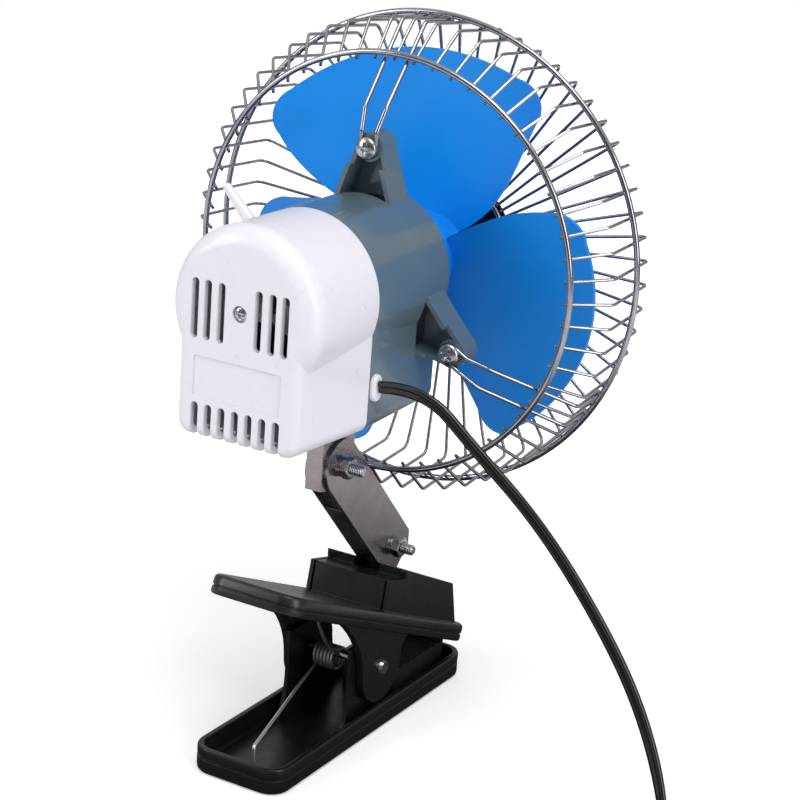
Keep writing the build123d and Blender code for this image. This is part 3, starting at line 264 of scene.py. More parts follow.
@dataclass(frozen=True)
class PlatedSteel:
    """Steel with a bright metal plating, as wire, sheet or turned parts.

    Attributes:
        name: Real material and how its surface was made.
        colour: Reflected colour of the plating.
        stain: Reflected colour where the plating is thin or dull.
        roughness: Lowest and highest roughness over the surface.
        mark: Width of the drawing or brushing marks, mm.
        mark_depth: Depth of those marks, mm.
        drawn: Direction of those marks.
        blotch: Size of the duller areas, mm.
        edge: Radius on the edges, mm.
    """

    name: str
    colour: str
    stain: str
    roughness: tuple[float, float]
    mark: float = 0.25
    mark_depth: float = 0.004
    drawn: Drawn = Drawn.NONE
    blotch: float = 6.0
    edge: float = 0.12

    @cache
    def material(self) -> bpy.types.Material:
        """Build the plated steel once and return it."""
        made = Coating(self.name, Metallic=1.0)
        cloud = made.add("ShaderNodeTexNoise", {"Vector": made.place, "Scale": per_size(self.blotch),
                                                "Detail": 5.0, "Roughness": 0.6})
        share = made.add("ShaderNodeMapRange", {"Value": cloud.outputs["Fac"], "From Min": 0.35,
                                                "From Max": 0.75})
        stretched = made.add("ShaderNodeVectorMath", {0: made.place, 1: self.drawn.value},
                             operation="MULTIPLY")
        marks = made.add("ShaderNodeTexNoise", {"Vector": stretched.outputs["Vector"],
                                                "Scale": per_size(self.mark), "Detail": 3.0})
        made.tone(share.outputs["Result"], self.colour, self.stain)
        made.sheen(marks.outputs["Fac"], self.roughness)
        made.relief(marks.outputs["Fac"], self.mark_depth, self.edge)
        return made.material


@dataclass(frozen=True)
class DullSolid:
    """Pressed, sintered or rubber surface: matt, with pores and an uneven tone.

    Attributes:
        name: Real material and how its surface was made.
        colour: Main colour.
        shade: Colour of the darker areas.
        roughness: Lowest and highest roughness.
        pore: Width of the pores, mm.
        pore_depth: Depth of the pores, mm.
        metallic: 1 for a bare metal, 0 otherwise.
    """

    name: str
    colour: str
    shade: str
    roughness: tuple[float, float]
    pore: float = 0.4
    pore_depth: float = 0.03
    metallic: float = 0.0

    @cache
    def material(self) -> bpy.types.Material:
        """Build the matt surface once and return it."""
        made = Coating(self.name, Metallic=self.metallic)
        pores = made.add("ShaderNodeTexVoronoi", {"Vector": made.place, "Scale": per_size(self.pore)})
        cloud = made.add("ShaderNodeTexNoise", {"Vector": made.place, "Detail": 5.0,
                                                "Scale": per_size(PORES_PER_CLOUD * self.pore)})
        made.tone(cloud.outputs["Fac"], self.colour, self.shade)
        made.sheen(cloud.outputs["Fac"], self.roughness)
        made.relief(pores.outputs["Distance"], self.pore_depth)
        return made.material


@dataclass(frozen=True)
class BandedSolid:
    """Surface with parallel bands: stacked sheet, wound wire or extruded jacket.

    Attributes:
        name: Real material and how its surface was made.
        colour: Colour of a band.
        painted_groove_shade: Darker colour between two bands, painted shade in the grooves.
        band: Distance from one band to the next, mm.
        band_depth: Depth between the bands, mm.
        axis: Axis across which the bands run, "X", "Y" or "Z".
        roughness: Roughness of the surface.
        metallic: 1 for a bare metal, 0 otherwise.
        coat: Weight of a clear enamel over it.
    """

    name: str
    colour: str
    painted_groove_shade: str
    band: float
    band_depth: float
    axis: str
    roughness: float
    metallic: float = 0.0
    coat: float = 0.0

    @cache
    def material(self) -> bpy.types.Material:
        """Build the banded surface once and return it."""
        made = Coating(self.name, Metallic=self.metallic, Roughness=self.roughness, Coat_Weight=self.coat,
                       Coat_Roughness=ENAMEL_GLOSS)
        bands = made.add("ShaderNodeTexWave", {"Vector": made.place, "Distortion": 0.4, "Detail": 2.0,
                                               "Scale": per_size(self.band) * WAVE_SCALE},
                         bands_direction=self.axis)
        # The grooves between the bands take the darker colour: painted shade.
        made.tone(bands.outputs["Fac"], self.painted_groove_shade, self.colour)
        made.relief(bands.outputs["Fac"], self.band_depth)
        return made.material


# ---------------------------------------------------------------- the fan's finishes
# Gloss-moulded ABS: cool white, with the soft sheen of a polished steel mould.
WHITE_ABS = MouldedPlastic("abs_white_polished_mould", "#EBE9F0", "#E5E2EB", (0.26, 0.36), flow=30.0,
                           grain_depth=0.006, edge=0.4, glow=0.08, coat=0.15)
# The same ABS in blue-grey; its polish mirrors the studio in soft-edged patches.
GREY_ABS = MouldedPlastic("abs_grey_polished_mould", "#5C6E7A", "#536571", (0.14, 0.24), flow=22.0,
                          grain_depth=0.008, edge=0.3, coat=0.35)
# Polypropylene blades, thin enough to glow a little where light falls through them.
BLUE_PP = MouldedPlastic("polypropylene_blue_moulded", "#0096F8", "#008AEC", (0.3, 0.42), flow=60.0,
                         grain_depth=0.01, edge=0.3, glow=0.04)
# Glass-filled polypropylene of the clip: black with a cool satin sheen.
BLACK_PP = MouldedPlastic("polypropylene_black_satin_mould", "#141419", "#101015", (0.26, 0.38), flow=16.0,
                          grain=0.45, grain_depth=0.016, edge=0.35)
# Polished navy badge in the middle of the guard.
NAVY_ABS = MouldedPlastic("abs_navy_polished_mould", "#0B1230", "#0A0F28", (0.10, 0.18), flow=20.0,
                          grain_depth=0.004, coat=0.4)
# Natural nylon of gears and motor cap, milky and a little yellow.
NATURAL_NYLON = MouldedPlastic("nylon_natural_moulded", "#E8E4D6", "#DED8C6", (0.34, 0.48),
                               grain_depth=0.01, glow=0.2)
# Gloss-moulded ABS of the plug: deep black with hard-edged reflections.
PLUG_BLACK = MouldedPlastic("abs_black_gloss_mould", "#121214", "#0D0D0F", (0.18, 0.28),
                            grain_depth=0.006, coat=0.2)

# Nickel-chromium plated wire, mirror bright with faint drawing lines.
CHROME_WIRE = PlatedSteel("steel_wire_chromium_plated", "#B4B3B8", "#9B9AA0", (0.08, 0.2), mark=0.35,
                          mark_depth=0.003, blotch=9.0)
# Bright zinc plating on cold-headed fasteners: silvery with a duller bloom.
ZINC_STEEL = PlatedSteel("steel_zinc_plated_cold_headed", "#C9CBCD", "#A9ABAF", (0.16, 0.28), mark=0.5,
                         mark_depth=0.001, blotch=3.0)
# Hard-drawn spring wire: pale grey, with a soft sheen from its film of oil.
SPRING_STEEL = PlatedSteel("spring_steel_bright_drawn", "#E4E5E8", "#CBCCD0", (0.4, 0.52), mark=0.5,
                           mark_depth=0.001, blotch=5.0)
# Satin nickel over pressed sheet: warm grey, brushed along its length.
SATIN_NICKEL = PlatedSteel("steel_sheet_satin_nickel_plated", "#B3A9AC", "#9A9194", (0.2, 0.3), mark=0.3,
                           mark_depth=0.006, drawn=Drawn.ALONG_X, blotch=24.0)
# Brass contacts under nickel, pale and a little yellow, duller where they rub.
NICKEL_BRASS = PlatedSteel("brass_nickel_plated_turned", "#CFCBC2", "#B7B1A4", (0.14, 0.4), mark=0.25,
                           blotch=4.0)

# Soft rubber pads, dull and faintly dusty.
BLACK_RUBBER = DullSolid("rubber_black_compression_moulded", "#151516", "#1D1D1F", (0.6, 0.78), pore=0.5)
# Oil-filled sintered bronze bushes with open pores.
SINTERED_BRONZE = DullSolid("bronze_sintered_oil_filled", "#A87B42", "#8A6232", (0.35, 0.5), pore=0.25,
                            metallic=1.0)
# Pressed ferrite magnets, charcoal grey.
FERRITE = DullSolid("ferrite_pressed_sintered", "#3A3B3E", "#2C2D30", (0.5, 0.68), pore=0.3)
# Pressed carbon brushes, near black with a graphite sheen.
CARBON = DullSolid("carbon_pressed", "#232325", "#19191B", (0.4, 0.55), pore=0.25)

# Half-millimetre steel sheets stacked along the shaft, with painted shade in the lines between them.
LAMINATIONS = BandedSolid("silicon_steel_stacked_sheet", "#8F9196", "#5B5D61", 0.5, 0.05, "Y", 0.4,
                          metallic=1.0)
# Enamelled copper wire, wound; 0.4 mm wire is drawn at its real pitch, with painted shade between the turns.
COPPER_WIRE = BandedSolid("copper_wire_enamelled_wound", "#B4612C", "#5C2A12", 0.4, 0.12, "Z", 0.3,
                          metallic=1.0, coat=0.5)
# Glossy extruded PVC with long, shallow draw lines.
PVC_JACKET = MouldedPlastic("pvc_black_extruded", "#0C0C0F", "#121215", (0.16, 0.28), flow=9.0, grain=1.2,
                            grain_depth=0.02, edge=0.1, coat=0.25)


# ---------------------------------------------------------------- meshes
def add_object(name: str, data: bpy.types.ID) -> bpy.types.Object:
    """Put a mesh, curve, lamp or camera into the scene as a new object."""
    made = bpy.data.objects.new(name, data)
    bpy.context.scene.collection.objects.link(made)
    return made


def shown_mesh(name: str, made: bmesh.types.BMesh, sharp: float = 32.0) -> bpy.types.Object:
    """Turn a bmesh into an object of the scene, smooth but for its sharp edges.

    Args:
        name: Name of the piece.
        made: Mesh data, which is freed.
        sharp: Angle in degrees from which an edge stays sharp.

    Returns:
        The new object.
    """
    bmesh.ops.recalc_face_normals(made, faces=made.faces)
    mesh = bpy.data.meshes.new(name)
    made.to_mesh(mesh)
    made.free()
    mesh.shade_smooth()
    mesh.set_sharp_from_angle(angle=math.radians(sharp))
    return add_object(name, mesh)


def skin_rings(made: bmesh.types.BMesh, rings: Sequence[Sequence[Vector]], capped: bool = True,
               looped: bool = False) -> None:
    """Join rings of points, all with as many points, into a tube.

    Args:
        made: Mesh that gets the tube.
        rings: Rings in order along the tube.
        capped: Close both ends with a face.
        looped: Join the last ring to the first one.
    """
    rows = [[made.verts.new(point) for point in ring] for ring in rings]
    count = len(rows[0])
    pairs = list(zip(rows, rows[1:]))
    if looped:
        pairs.append((rows[-1], rows[0]))
    for lower, upper in pairs:
        for i in range(count):
            j = (i + 1) % count
            made.faces.new((lower[i], lower[j], upper[j], upper[i]))
    if capped and not looped:
        made.faces.new(list(reversed(rows[0])))
        made.faces.new(rows[-1])


def ring_of(place: Matrix, radius: float, sides: int, height: float = 0.0) -> list[Vector]:
    """Return a circle of points in the local XY plane of a place, in metres.

    Args:
        place: Matrix whose Z axis is the circle's axis.
        radius: Radius, mm.
        sides: Number of points.
        height: Distance along the axis, mm.

    Returns:
        The points, counter-clockwise about the axis.
    """
    turns = [TURN * side / sides for side in range(sides)]
    return [place @ Vector((mm(radius) * math.cos(turn), mm(radius) * math.sin(turn), mm(height)))
            for turn in turns]


def finish_piece(piece: bpy.types.Object, finish: Finish, body: str, slot: str, *replaced: str) -> None:
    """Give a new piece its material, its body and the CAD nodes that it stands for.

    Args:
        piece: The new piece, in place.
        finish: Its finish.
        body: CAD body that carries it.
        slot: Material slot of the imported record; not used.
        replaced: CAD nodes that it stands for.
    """
    piece.data.materials.clear()
    piece.data.materials.append(finish.material())
    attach(piece, body)
    if replaced:
        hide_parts(*replaced)
    LOG.info("piece %s on body %s, finish %s", piece.name, body, finish.material().name)


def dress(finish: Finish, *nodes: str) -> None:
    """Give CAD nodes a finish.

    Args:
        finish: The finish that they share.
        nodes: Names of CAD nodes.
    """
    for name in nodes:
        node = frame["nodes"][name]
        node.data.materials.clear()
        node.data.materials.append(finish.material())
        LOG.info("node %s, finish %s", name, finish.material().name)


def joint_place(name: str) -> Vector:
    """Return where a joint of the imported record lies, in metres."""
    joint = next(j for j in frame["joints"] if j["name"] == name)
    return Vector(joint["pos_m"])


def middle(node: str) -> Vector:
    """Return the middle of a CAD node's box, in metres."""
    low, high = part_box(node)
    return (low + high) / 2


def half_width(node: str) -> float:
    """Return half of a CAD node's width along X, mm."""
    low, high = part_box(node)
    return (high.x - low.x) * 500


# ---------------------------------------------------------------- guard
@dataclass
class GuardCage:
    """Wire guard: three rings, sixty bent ribs, three screwed-on legs and the badge.

    Attributes:
        wire: Diameter of the ribs, mm.
        rear_bend: Rear bend of a rib, in front of the rear ring, mm.
        front_bend: Front bend of a rib, in front of the rear ring, mm.
        spread: How far the bends stand off the ribs' line at the outer ring, mm.
        bend_radius: Radius of both bends, mm.
        tail: Length of a rib past the rear ring, mm.
        count: Number of ribs.
        overlap: Length of a rib behind the badge's edge, mm.
        weld_gap: Distance between two wires that are welded, mm.
        ring_wire: Diameter of the rings, mm.
        nugget: Radius of a weld's nugget, in diameters of a rib.
        nugget_form: How far the nugget is pressed flat, along each axis.
    """

    wire: float = 1.2
    rear_bend: float = 12.4
    front_bend: float = 45.5
    spread: float = 1.4
    bend_radius: float = 3.0
    tail: float = 1.5
    count: int = 60
    overlap: float = 3.0
    weld_gap: float = 0.05
    ring_wire: float = 2.2
    nugget: float = 0.62
    nugget_form: tuple[float, float, float, float] = (0.9, 0.9, 0.75, 1.0)

    def build(self) -> None:
        """Make the ribs, then dress rings, legs and badge."""
        self.ribs()
        dress(CHROME_WIRE, "guard_rear_ring", "guard_outer_ring", "guard_inner_ring", "guard_legs")
        dress(NAVY_ABS, "guard_badge")

    def ribs(self) -> None:
        """Bend one round rib and repeat it round the fan axis, with a weld at each ring."""
        axis = middle("guard_outer_ring")
        rear_y, outer_y = middle("guard_rear_ring").y * 1000, axis.y * 1000
        rear_radius = half_width("guard_rear_ring") - self.ring_wire / 2
        outer_radius = half_width("guard_outer_ring") - self.ring_wire / 2
        _, badge_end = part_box("guard_badge")
        half = self.wire / 2
        mid_radius = outer_radius - self.ring_wire / 2 - half - self.weld_gap
        rear_bend_radius, front_bend_radius = mid_radius + self.spread, mid_radius - self.spread
        stand_off = self.ring_wire / 2 + half + self.weld_gap
        to_bend = math.hypot(self.rear_bend, rear_bend_radius - rear_radius)
        angle = math.atan2(rear_radius - rear_bend_radius, -self.rear_bend)
        angle += math.asin(stand_off / to_bend)
        run = math.sqrt(to_bend ** 2 - stand_off ** 2) + self.tail
        corners = [
            (rear_y - self.rear_bend - run * math.cos(angle), rear_bend_radius + run * math.sin(angle)),
            (rear_y - self.rear_bend, rear_bend_radius),
            (rear_y - self.front_bend, front_bend_radius),
            (badge_end.y * 1000 + self.weld_gap + half, half_width("guard_badge") - self.overlap),
        ]
        bent = rounded_line([Vector((y, r)) for y, r in corners], self.bend_radius)
        line = [Vector((0, mm(spot.x), mm(spot.y))) for spot in bent]
        made = bmesh.new()
        for index in range(self.count):
            place = Matrix.Translation((0, 0, axis.z)) @ Matrix.Rotation(TURN * index / self.count, 4, "Y")
            skin_rings(made, [[place @ p for p in ring] for ring in wire_rings(line, half)])
            for y, radius in ((rear_y, rear_radius), (outer_y, outer_radius)):
                self.weld(made, place @ Matrix.Translation((0, mm(y), mm(radius - stand_off / 2))))
        piece = shown_mesh("guard_rib_wires", made)
        finish_piece(piece, CHROME_WIRE, "head", "chrome_wire", "guard_ribs")

    def weld(self, made: bmesh.types.BMesh, place: Matrix) -> None:
        """Add the small nugget where a rib is spot-welded to a ring.

        Args:
            made: Mesh that gets the nugget.
            place: Matrix at the touching line of the two wires, Z away from the fan axis.
        """
        bmesh.ops.create_icosphere(made, subdivisions=1, radius=mm(self.wire * self.nugget),
                                   matrix=place @ Matrix.Diagonal(self.nugget_form))


def rounded_line(corners: Sequence[Vector], radius: float, steps: int = 6) -> list[Vector]:
    """Round the inner corners of a flat line.

    Args:
        corners: Points in a plane.
        radius: Radius of the arcs, in the same unit.
        steps: Spans in each arc.

    Returns:
        Points along the runs and the tangent arcs.
    """
    line = [corners[0]]
    for before, corner, after in zip(corners, corners[1:], corners[2:]):
        inward, outward = (before - corner).normalized(), (after - corner).normalized()
        half_turn = inward.angle(outward) / 2
        centre = corner + (inward + outward).normalized() * (radius / math.sin(half_turn))
        start = corner + inward * (radius / math.tan(half_turn)) - centre
        end = corner + outward * (radius / math.tan(half_turn)) - centre
        whole = start.angle(end)
        for step in range(steps + 1):
            share = step / steps
            line.append(centre + (start * math.sin((1 - share) * whole) + end * math.sin(share * whole))
                        / math.sin(whole))
    line.append(corners[-1])
    return line


def wire_rings(line: Sequence[Vector], radius: float, sides: int = 12) -> list[list[Vector]]:
    """Return the rings of a round wire along a line, without twist.

    Args:
        line: Points along the middle of the wire, in metres.
        radius: Radius of the wire, mm.
        sides: Number of points in a ring.

    Returns:
        One ring of points for each point of the line.
    """
    rings = []
    turns = [TURN * side / sides for side in range(sides)]
    square = (line[1] - line[0]).orthogonal().normalized()
    for index, point in enumerate(line):
        along = (line[min(index + 1, len(line) - 1)] - line[max(index - 1, 0)]).normalized()
        square = (square - along * square.dot(along)).normalized()
        other = along.cross(square)
        rings.append([point + (square * math.cos(turn) + other * math.sin(turn)) * mm(radius)
                      for turn in turns])
    return rings


def arc_line(start: Vector, pull: Vector, end: Vector, steps: int = 10) -> list[Vector]:
    """Return points along a curve that leaves start and reaches end in line with pull."""
    shares = [step / steps for step in range(steps + 1)]
    return [start * (1 - s) ** 2 + pull * (2 * s * (1 - s)) + end * s ** 2 for s in shares]


def circle_line(middle_y: float, middle_z: float, radius: float, first: float, last: float,
                steps: int = 16) -> list[Vector]:
    """Return points of a circle in a side view, from one angle to another in degrees, mm."""
    turns = [math.radians(first + (last - first) * step / steps) for step in range(steps + 1)]
    return [Vector((middle_y + radius * math.cos(turn), middle_z + radius * math.sin(turn)))
            for turn in turns]


def prism(made: bmesh.types.BMesh, outline: Sequence[Vector], near: float, far: float) -> None:
    """Add a plate or block to a mesh, drawn in the side view.

    Args:
        made: Mesh that gets the block.
        outline: Its outline as (y, z), mm.
        near: One end along X, mm.
        far: The other end along X, mm.
    """
    skin_rings(made, [[Vector((mm(x), mm(spot[0]), mm(spot[1]))) for spot in outline] for x in (near, far)])


def rounded_pan(made: bmesh.types.BMesh, place: Matrix, half: float, ends: tuple[float, float], corner: float,
                rows: Sequence[tuple[float, float]]) -> None:
    """Add a rounded oblong whose walls follow rows of insets and heights.

    Args:
        made: Mesh that gets the form.
        place: Matrix whose Y axis runs along the oblong.
        half: Half width, mm.
        ends: Its two ends along Y, mm.
        corner: Radius of its corners, mm.
        rows: Inset from the outline and height, mm, from one cap to the other.
    """
    steps = 8
    rings = []
    for inset, height in rows:
        ring = []
        for quarter, (side, end, inward) in enumerate(((1, ends[1], -1), (-1, ends[1], -1), (-1, ends[0], 1),
                                                       (1, ends[0], 1))):
            for step in range(steps + 1):
                turn = math.radians(90 * quarter + 90 * step / steps)
                x = side * (half - corner) + (corner - inset) * math.cos(turn)
                y = end + inward * corner + (corner - inset) * math.sin(turn)
                ring.append(place @ Vector((mm(x), mm(y), mm(height))))
        rings.append(ring)
    skin_rings(made, rings)


# ---------------------------------------------------------------- fasteners
@dataclass
class PanScrew:
    """Pan-head screw with a cross recess.

    Attributes:
        head_radius: Radius of the head, mm.
        head_height: Height of the head, mm.
        shank_radius: Radius of the shank, mm.
        length: Whole length with the head, mm.
        cross: Width across the recess, mm.
        arm: Width of one arm of the recess at the top, mm.
        depth: Depth of the recess, mm.
        sides: Points round the head.
        spans: Rings of points from the head's rim to its middle.
        dome: Share of the head's height that its dome takes.
        roundness: How steeply the dome meets the rim, up to 1.
        soft_edge: Width over which an arm's edge falls, mm.
        taper: Length over which an arm's end rises, in widths of the cross.
    """

    head_radius: float
    head_height: float
    shank_radius: float
    length: float
    cross: float
    arm: float
    depth: float
    sides: int = 96
    spans: int = 30
    dome: float = 0.75
    roundness: float = 0.96
    soft_edge: float = 0.12
    taper: float = 0.3

    def build(self, name: str, place: Matrix) -> bpy.types.Object:
        """Make the screw.

        Args:
            name: Name of the object.
            place: Matrix at the top of the head, Z out of the head.

        Returns:
            The screw as one mesh.
        """
        made = bmesh.new()
        under, centre = -self.head_height, 0.02     # the dome's last ring, nearly a point
        rings = [ring_of(place, self.shank_radius, self.sides, -self.length),
                 ring_of(place, self.shank_radius, self.sides, under),
                 ring_of(place, self.head_radius, self.sides, under)]
        reaches = [self.head_radius * (1 - span / self.spans) for span in range(self.spans)]
        for reach in (*reaches, centre):
            rings.append([self.skin_point(place, reach, TURN * side / self.sides)
                          for side in range(self.sides)])
        skin_rings(made, rings)
        return shown_mesh(name, made, sharp=40.0)

    def skin_point(self, place: Matrix, reach: float, turn: float) -> Vector:
        """Return a point of the head's top, in metres.

        Args:
            place: Matrix at the top of the head, Z out of the head.
            reach: Distance from the screw's axis, mm.
            turn: Direction from the axis, radians.

        Returns:
            The point on the dome, or on the recess where the cross lies.
        """
        share = reach / self.head_radius
        drop = self.dome * self.head_height * (1 - math.sqrt(1 - self.roundness * share * share))
        x, y = reach * math.cos(turn), reach * math.sin(turn)
        long, wide = max(abs(x), abs(y)), min(abs(x), abs(y))
        in_arm = held((self.arm / 2 - wide) / self.soft_edge + 0.5)
        in_length = held((self.cross / 2 - long) / (self.taper * self.cross) + 0.1)
        return place @ Vector((mm(x), mm(y), -mm(drop + self.depth * in_arm * in_length)))


@dataclass
class HexBolt:
    """M4 hexagon bolt with its thread, lying along X with its head at +X.

    Attributes:
        radius: Outer radius of the thread, mm.
        pitch: Thread pitch, mm.
        thread_depth: Depth of the thread, mm.
        head_flats: Width across the head's flats, mm.
        head_height: Height of the head, mm.
        sides: Points round the thread.
        rows_per_turn: Rows of points for each turn of the thread.
        crest: Width of the thread's crest, in pitches.
        flank: Width of its two flanks, in pitches.
        chamfer: Depth of the chamfer at the free end, mm.
    """

    radius: float = 2.0
    pitch: float = 0.7
    thread_depth: float = 0.42
    head_flats: float = 7.0
    head_height: float = 2.8
    sides: int = 32
    rows_per_turn: int = 8
    crest: float = 0.12
    flank: float = 0.76
    chamfer: float = 0.55

    def thread(self, made: bmesh.types.BMesh, place: Matrix, length: float) -> None:
        """Add a threaded shank to a mesh.

        Args:
            made: Mesh that gets the shank.
            place: Matrix at the shank's free end, Z into the bolt.
            length: Length of the shank, mm.
        """
        rows = int(length / self.pitch * self.rows_per_turn)
        rings = []
        for row in range(rows + 1):
            along = length * row / rows
            ring = []
            for side in range(self.sides):
                share = side / self.sides
                phase = (along / self.pitch - share) % 1.0
                valley = abs(2 * phase - 1)
                cut = self.thread_depth * held((valley - self.crest) / self.flank)
                reach = min(self.radius - cut, self.radius - self.chamfer + along)
                turn = TURN * share
                ring.append(place @ Vector((mm(reach * math.cos(turn)), mm(reach * math.sin(turn)),
                                            mm(along))))
            rings.append(ring)
        skin_rings(made, rings)

    def head(self, made: bmesh.types.BMesh, place: Matrix) -> None:
        """Add the chamfered hexagon head, standing on the XY plane of a place."""
        hexagon(made, place, self.head_flats, 0.0, self.head_height, bore=0.0, both=False)


def hexagon(made: bmesh.types.BMesh, place: Matrix, flats: float, low: float, high: float,
            bore: float, both: bool) -> None:
    """Add a hexagon with the curved chamfers of a turned blank.

    Args:
        made: Mesh that gets the hexagon.
        place: Matrix whose Z axis is the hexagon's axis.
        flats: Width across the flats, mm.
        low: Lower face along the axis, mm.
        high: Upper face along the axis, mm.
        bore: Radius of its bore, or 0 for none, mm.
        both: Chamfer the lower face too.
    """
    sides, flat_share, chamfer_angle, least_bore = 72, 0.95, 30, 0.01
    inner = flats / 2 * flat_share
    slope = math.tan(math.radians(chamfer_angle))
    bore = max(bore, least_bore)

    def outline(i: int) -> float:
        """Return the distance from the axis to the hexagon's side at one of the points."""
        return flats / 2 / math.cos((TURN * i / sides + math.pi / 6) % (math.pi / 3) - math.pi / 6)

    def ring(reach: Callable[[int], float], height: Callable[[int], float]) -> list[Vector]:
        """Return one ring of points, from a radius and a height at each."""
        return [place @ Vector((mm(reach(i) * math.cos(TURN * i / sides)),
                                mm(reach(i) * math.sin(TURN * i / sides)), mm(height(i))))
                for i in range(sides)]

    drop = slope * (1.0 if both else 0.0)
    rings = [
        ring(lambda i: bore, lambda i: high),
        ring(lambda i: bore, lambda i: low),
        ring(lambda i: inner, lambda i: low),
        ring(outline, lambda i: low + (outline(i) - inner) * drop),
        ring(outline, lambda i: high - (outline(i) - inner) * slope),
        ring(lambda i: inner, lambda i: high),
    ]
    skin_rings(made, rings, looped=True)


# ---------------------------------------------------------------- head
@dataclass
class FanHead:
    """Two-part motor housing with its grommet, knob and screws.

    Attributes:
        lug_turn: Angle from one guard screw to the next, degrees.
        lug_radius: Distance of the guard screws from the fan axis, mm.
    """

    lug_turn: float = 120.0
    lug_radius: float = 43.7

    def build(self) -> None:
        """Dress the housing and make its screws."""
        dress(WHITE_ABS, "rear_cover", "oscillation_knob", "cord_grommet")
        dress(GREY_ABS, "front_housing")
        self.cover_screw()
        self.guard_screws()

    def cover_screw(self) -> None:
        """Make the screw in the middle of the rear face."""
        low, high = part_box("cover_screw")
        axis = middle("cover_screw")
        place = Matrix.Translation((axis.x, high.y, axis.z)) @ Matrix.Rotation(math.radians(-90), 4, "X")
        screw = PanScrew(head_radius=2.7, head_height=1.8, shank_radius=1.5, length=(high.y - low.y) * 1000,
                         cross=3.4, arm=0.8, depth=1.0)
        piece = screw.build("cover_screw_head", place)
        finish_piece(piece, ZINC_STEEL, "head", "zinc_steel", "cover_screw")

    def guard_screws(self) -> None:
        """Make the three screws that clamp the guard's legs to the lugs."""
        low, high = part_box("guard_screws")
        axis = middle("guard_outer_ring")
        screw = PanScrew(head_radius=3.9, head_height=2.3, shank_radius=1.75,
                         length=(high.y - low.y) * 1000, cross=4.4, arm=1.1, depth=1.3)
        screws = []
        for index in range(round(360 / self.lug_turn)):
            turn = Matrix.Rotation(math.radians(self.lug_turn * index), 4, "Y")
            spot = turn @ Matrix.Translation((0, high.y, mm(self.lug_radius)))
            place = Matrix.Translation((0, 0, axis.z)) @ spot @ Matrix.Rotation(math.radians(-90), 4, "X")
            screws.append(screw.build(f"guard_screw_{index + 1}", place))
        for piece in screws:
            finish_piece(piece, ZINC_STEEL, "head", "zinc_steel")
        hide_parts("guard_screws")


@dataclass
class Rotor:
    """Blades on the motor shaft, with the armature and the worm behind them."""

    def build(self) -> None:
        """Dress every piece that turns with the fan, and the motor round it."""
        dress(BLUE_PP, "fan_blades")
        dress(SPRING_STEEL, "motor_shaft", "gear_shaft")
        dress(LAMINATIONS, "armature_core")
        dress(COPPER_WIRE, "armature_windings", "commutator")
        dress(SINTERED_BRONZE, "shaft_bushes", "worm")
        dress(ZINC_STEEL, "motor_can")
        dress(FERRITE, "motor_magnets")
        dress(CARBON, "motor_brushes")
        dress(NATURAL_NYLON, "motor_end_cap", "gear_frame", "worm_wheel", "crank_disc", "drive_rod")


# ---------------------------------------------------------------- link and clip
@dataclass
class TiltLink:
    """Folded link between clip and neck, with its two bolts, washers and nuts.

    Attributes:
        outer: Outer face of a plate, from the middle plane, mm.
        washer: Thickness of a washer, mm.
        nut_height: Height of a nut, mm.
        nut_flats: Width across a nut's flats, mm.
        reaches: End of the lower and of the upper bolt, from the middle plane, mm.
        gap: Distance from a head or nut to what it is tightened on, mm.
        bore: Radius of a nut's bore, mm.
    """

    outer: float = 4.6
    washer: float = 0.9
    nut_height: float = 3.2
    nut_flats: float = 7.0
    reaches: tuple[float, float] = (13.4, 13.5)
    gap: float = 0.05
    bore: float = 2.05

    def build(self) -> None:
        """Make bolts and nuts, and dress the plates and the neck."""
        dress(SATIN_NICKEL, "link_channel", "neck_tongue")
        dress(ZINC_STEEL, "link_washers", "swing_post", "drive_arm")
        dress(SPRING_STEEL, "post_clip")
        bolt = HexBolt()
        bolts, nuts = bmesh.new(), bmesh.new()
        for joint, reach in zip(("lower_tilt", "upper_tilt"), self.reaches):
            spot = joint_place(joint)
            toward_head = Matrix.Rotation(math.radians(90), 4, "Y")
            end = Matrix.Translation((mm(-reach), spot.y, spot.z)) @ toward_head
            bolt.thread(bolts, end, reach + self.outer)
            head = Matrix.Translation((mm(self.outer + self.gap), spot.y, spot.z)) @ toward_head
            bolt.head(bolts, head)
            nut_x = -self.outer - self.washer - self.gap - self.nut_height
            nut_face = Matrix.Translation((mm(nut_x), spot.y, spot.z)) @ toward_head
            hexagon(nuts, nut_face, self.nut_flats, 0.0, self.nut_height, bore=self.bore, both=True)
        finish_piece(shown_mesh("link_bolt_threads", bolts), ZINC_STEEL, "link", "zinc_steel", "link_bolts")
        finish_piece(shown_mesh("link_nut_hexagons", nuts), ZINC_STEEL, "link", "zinc_steel", "link_nuts")


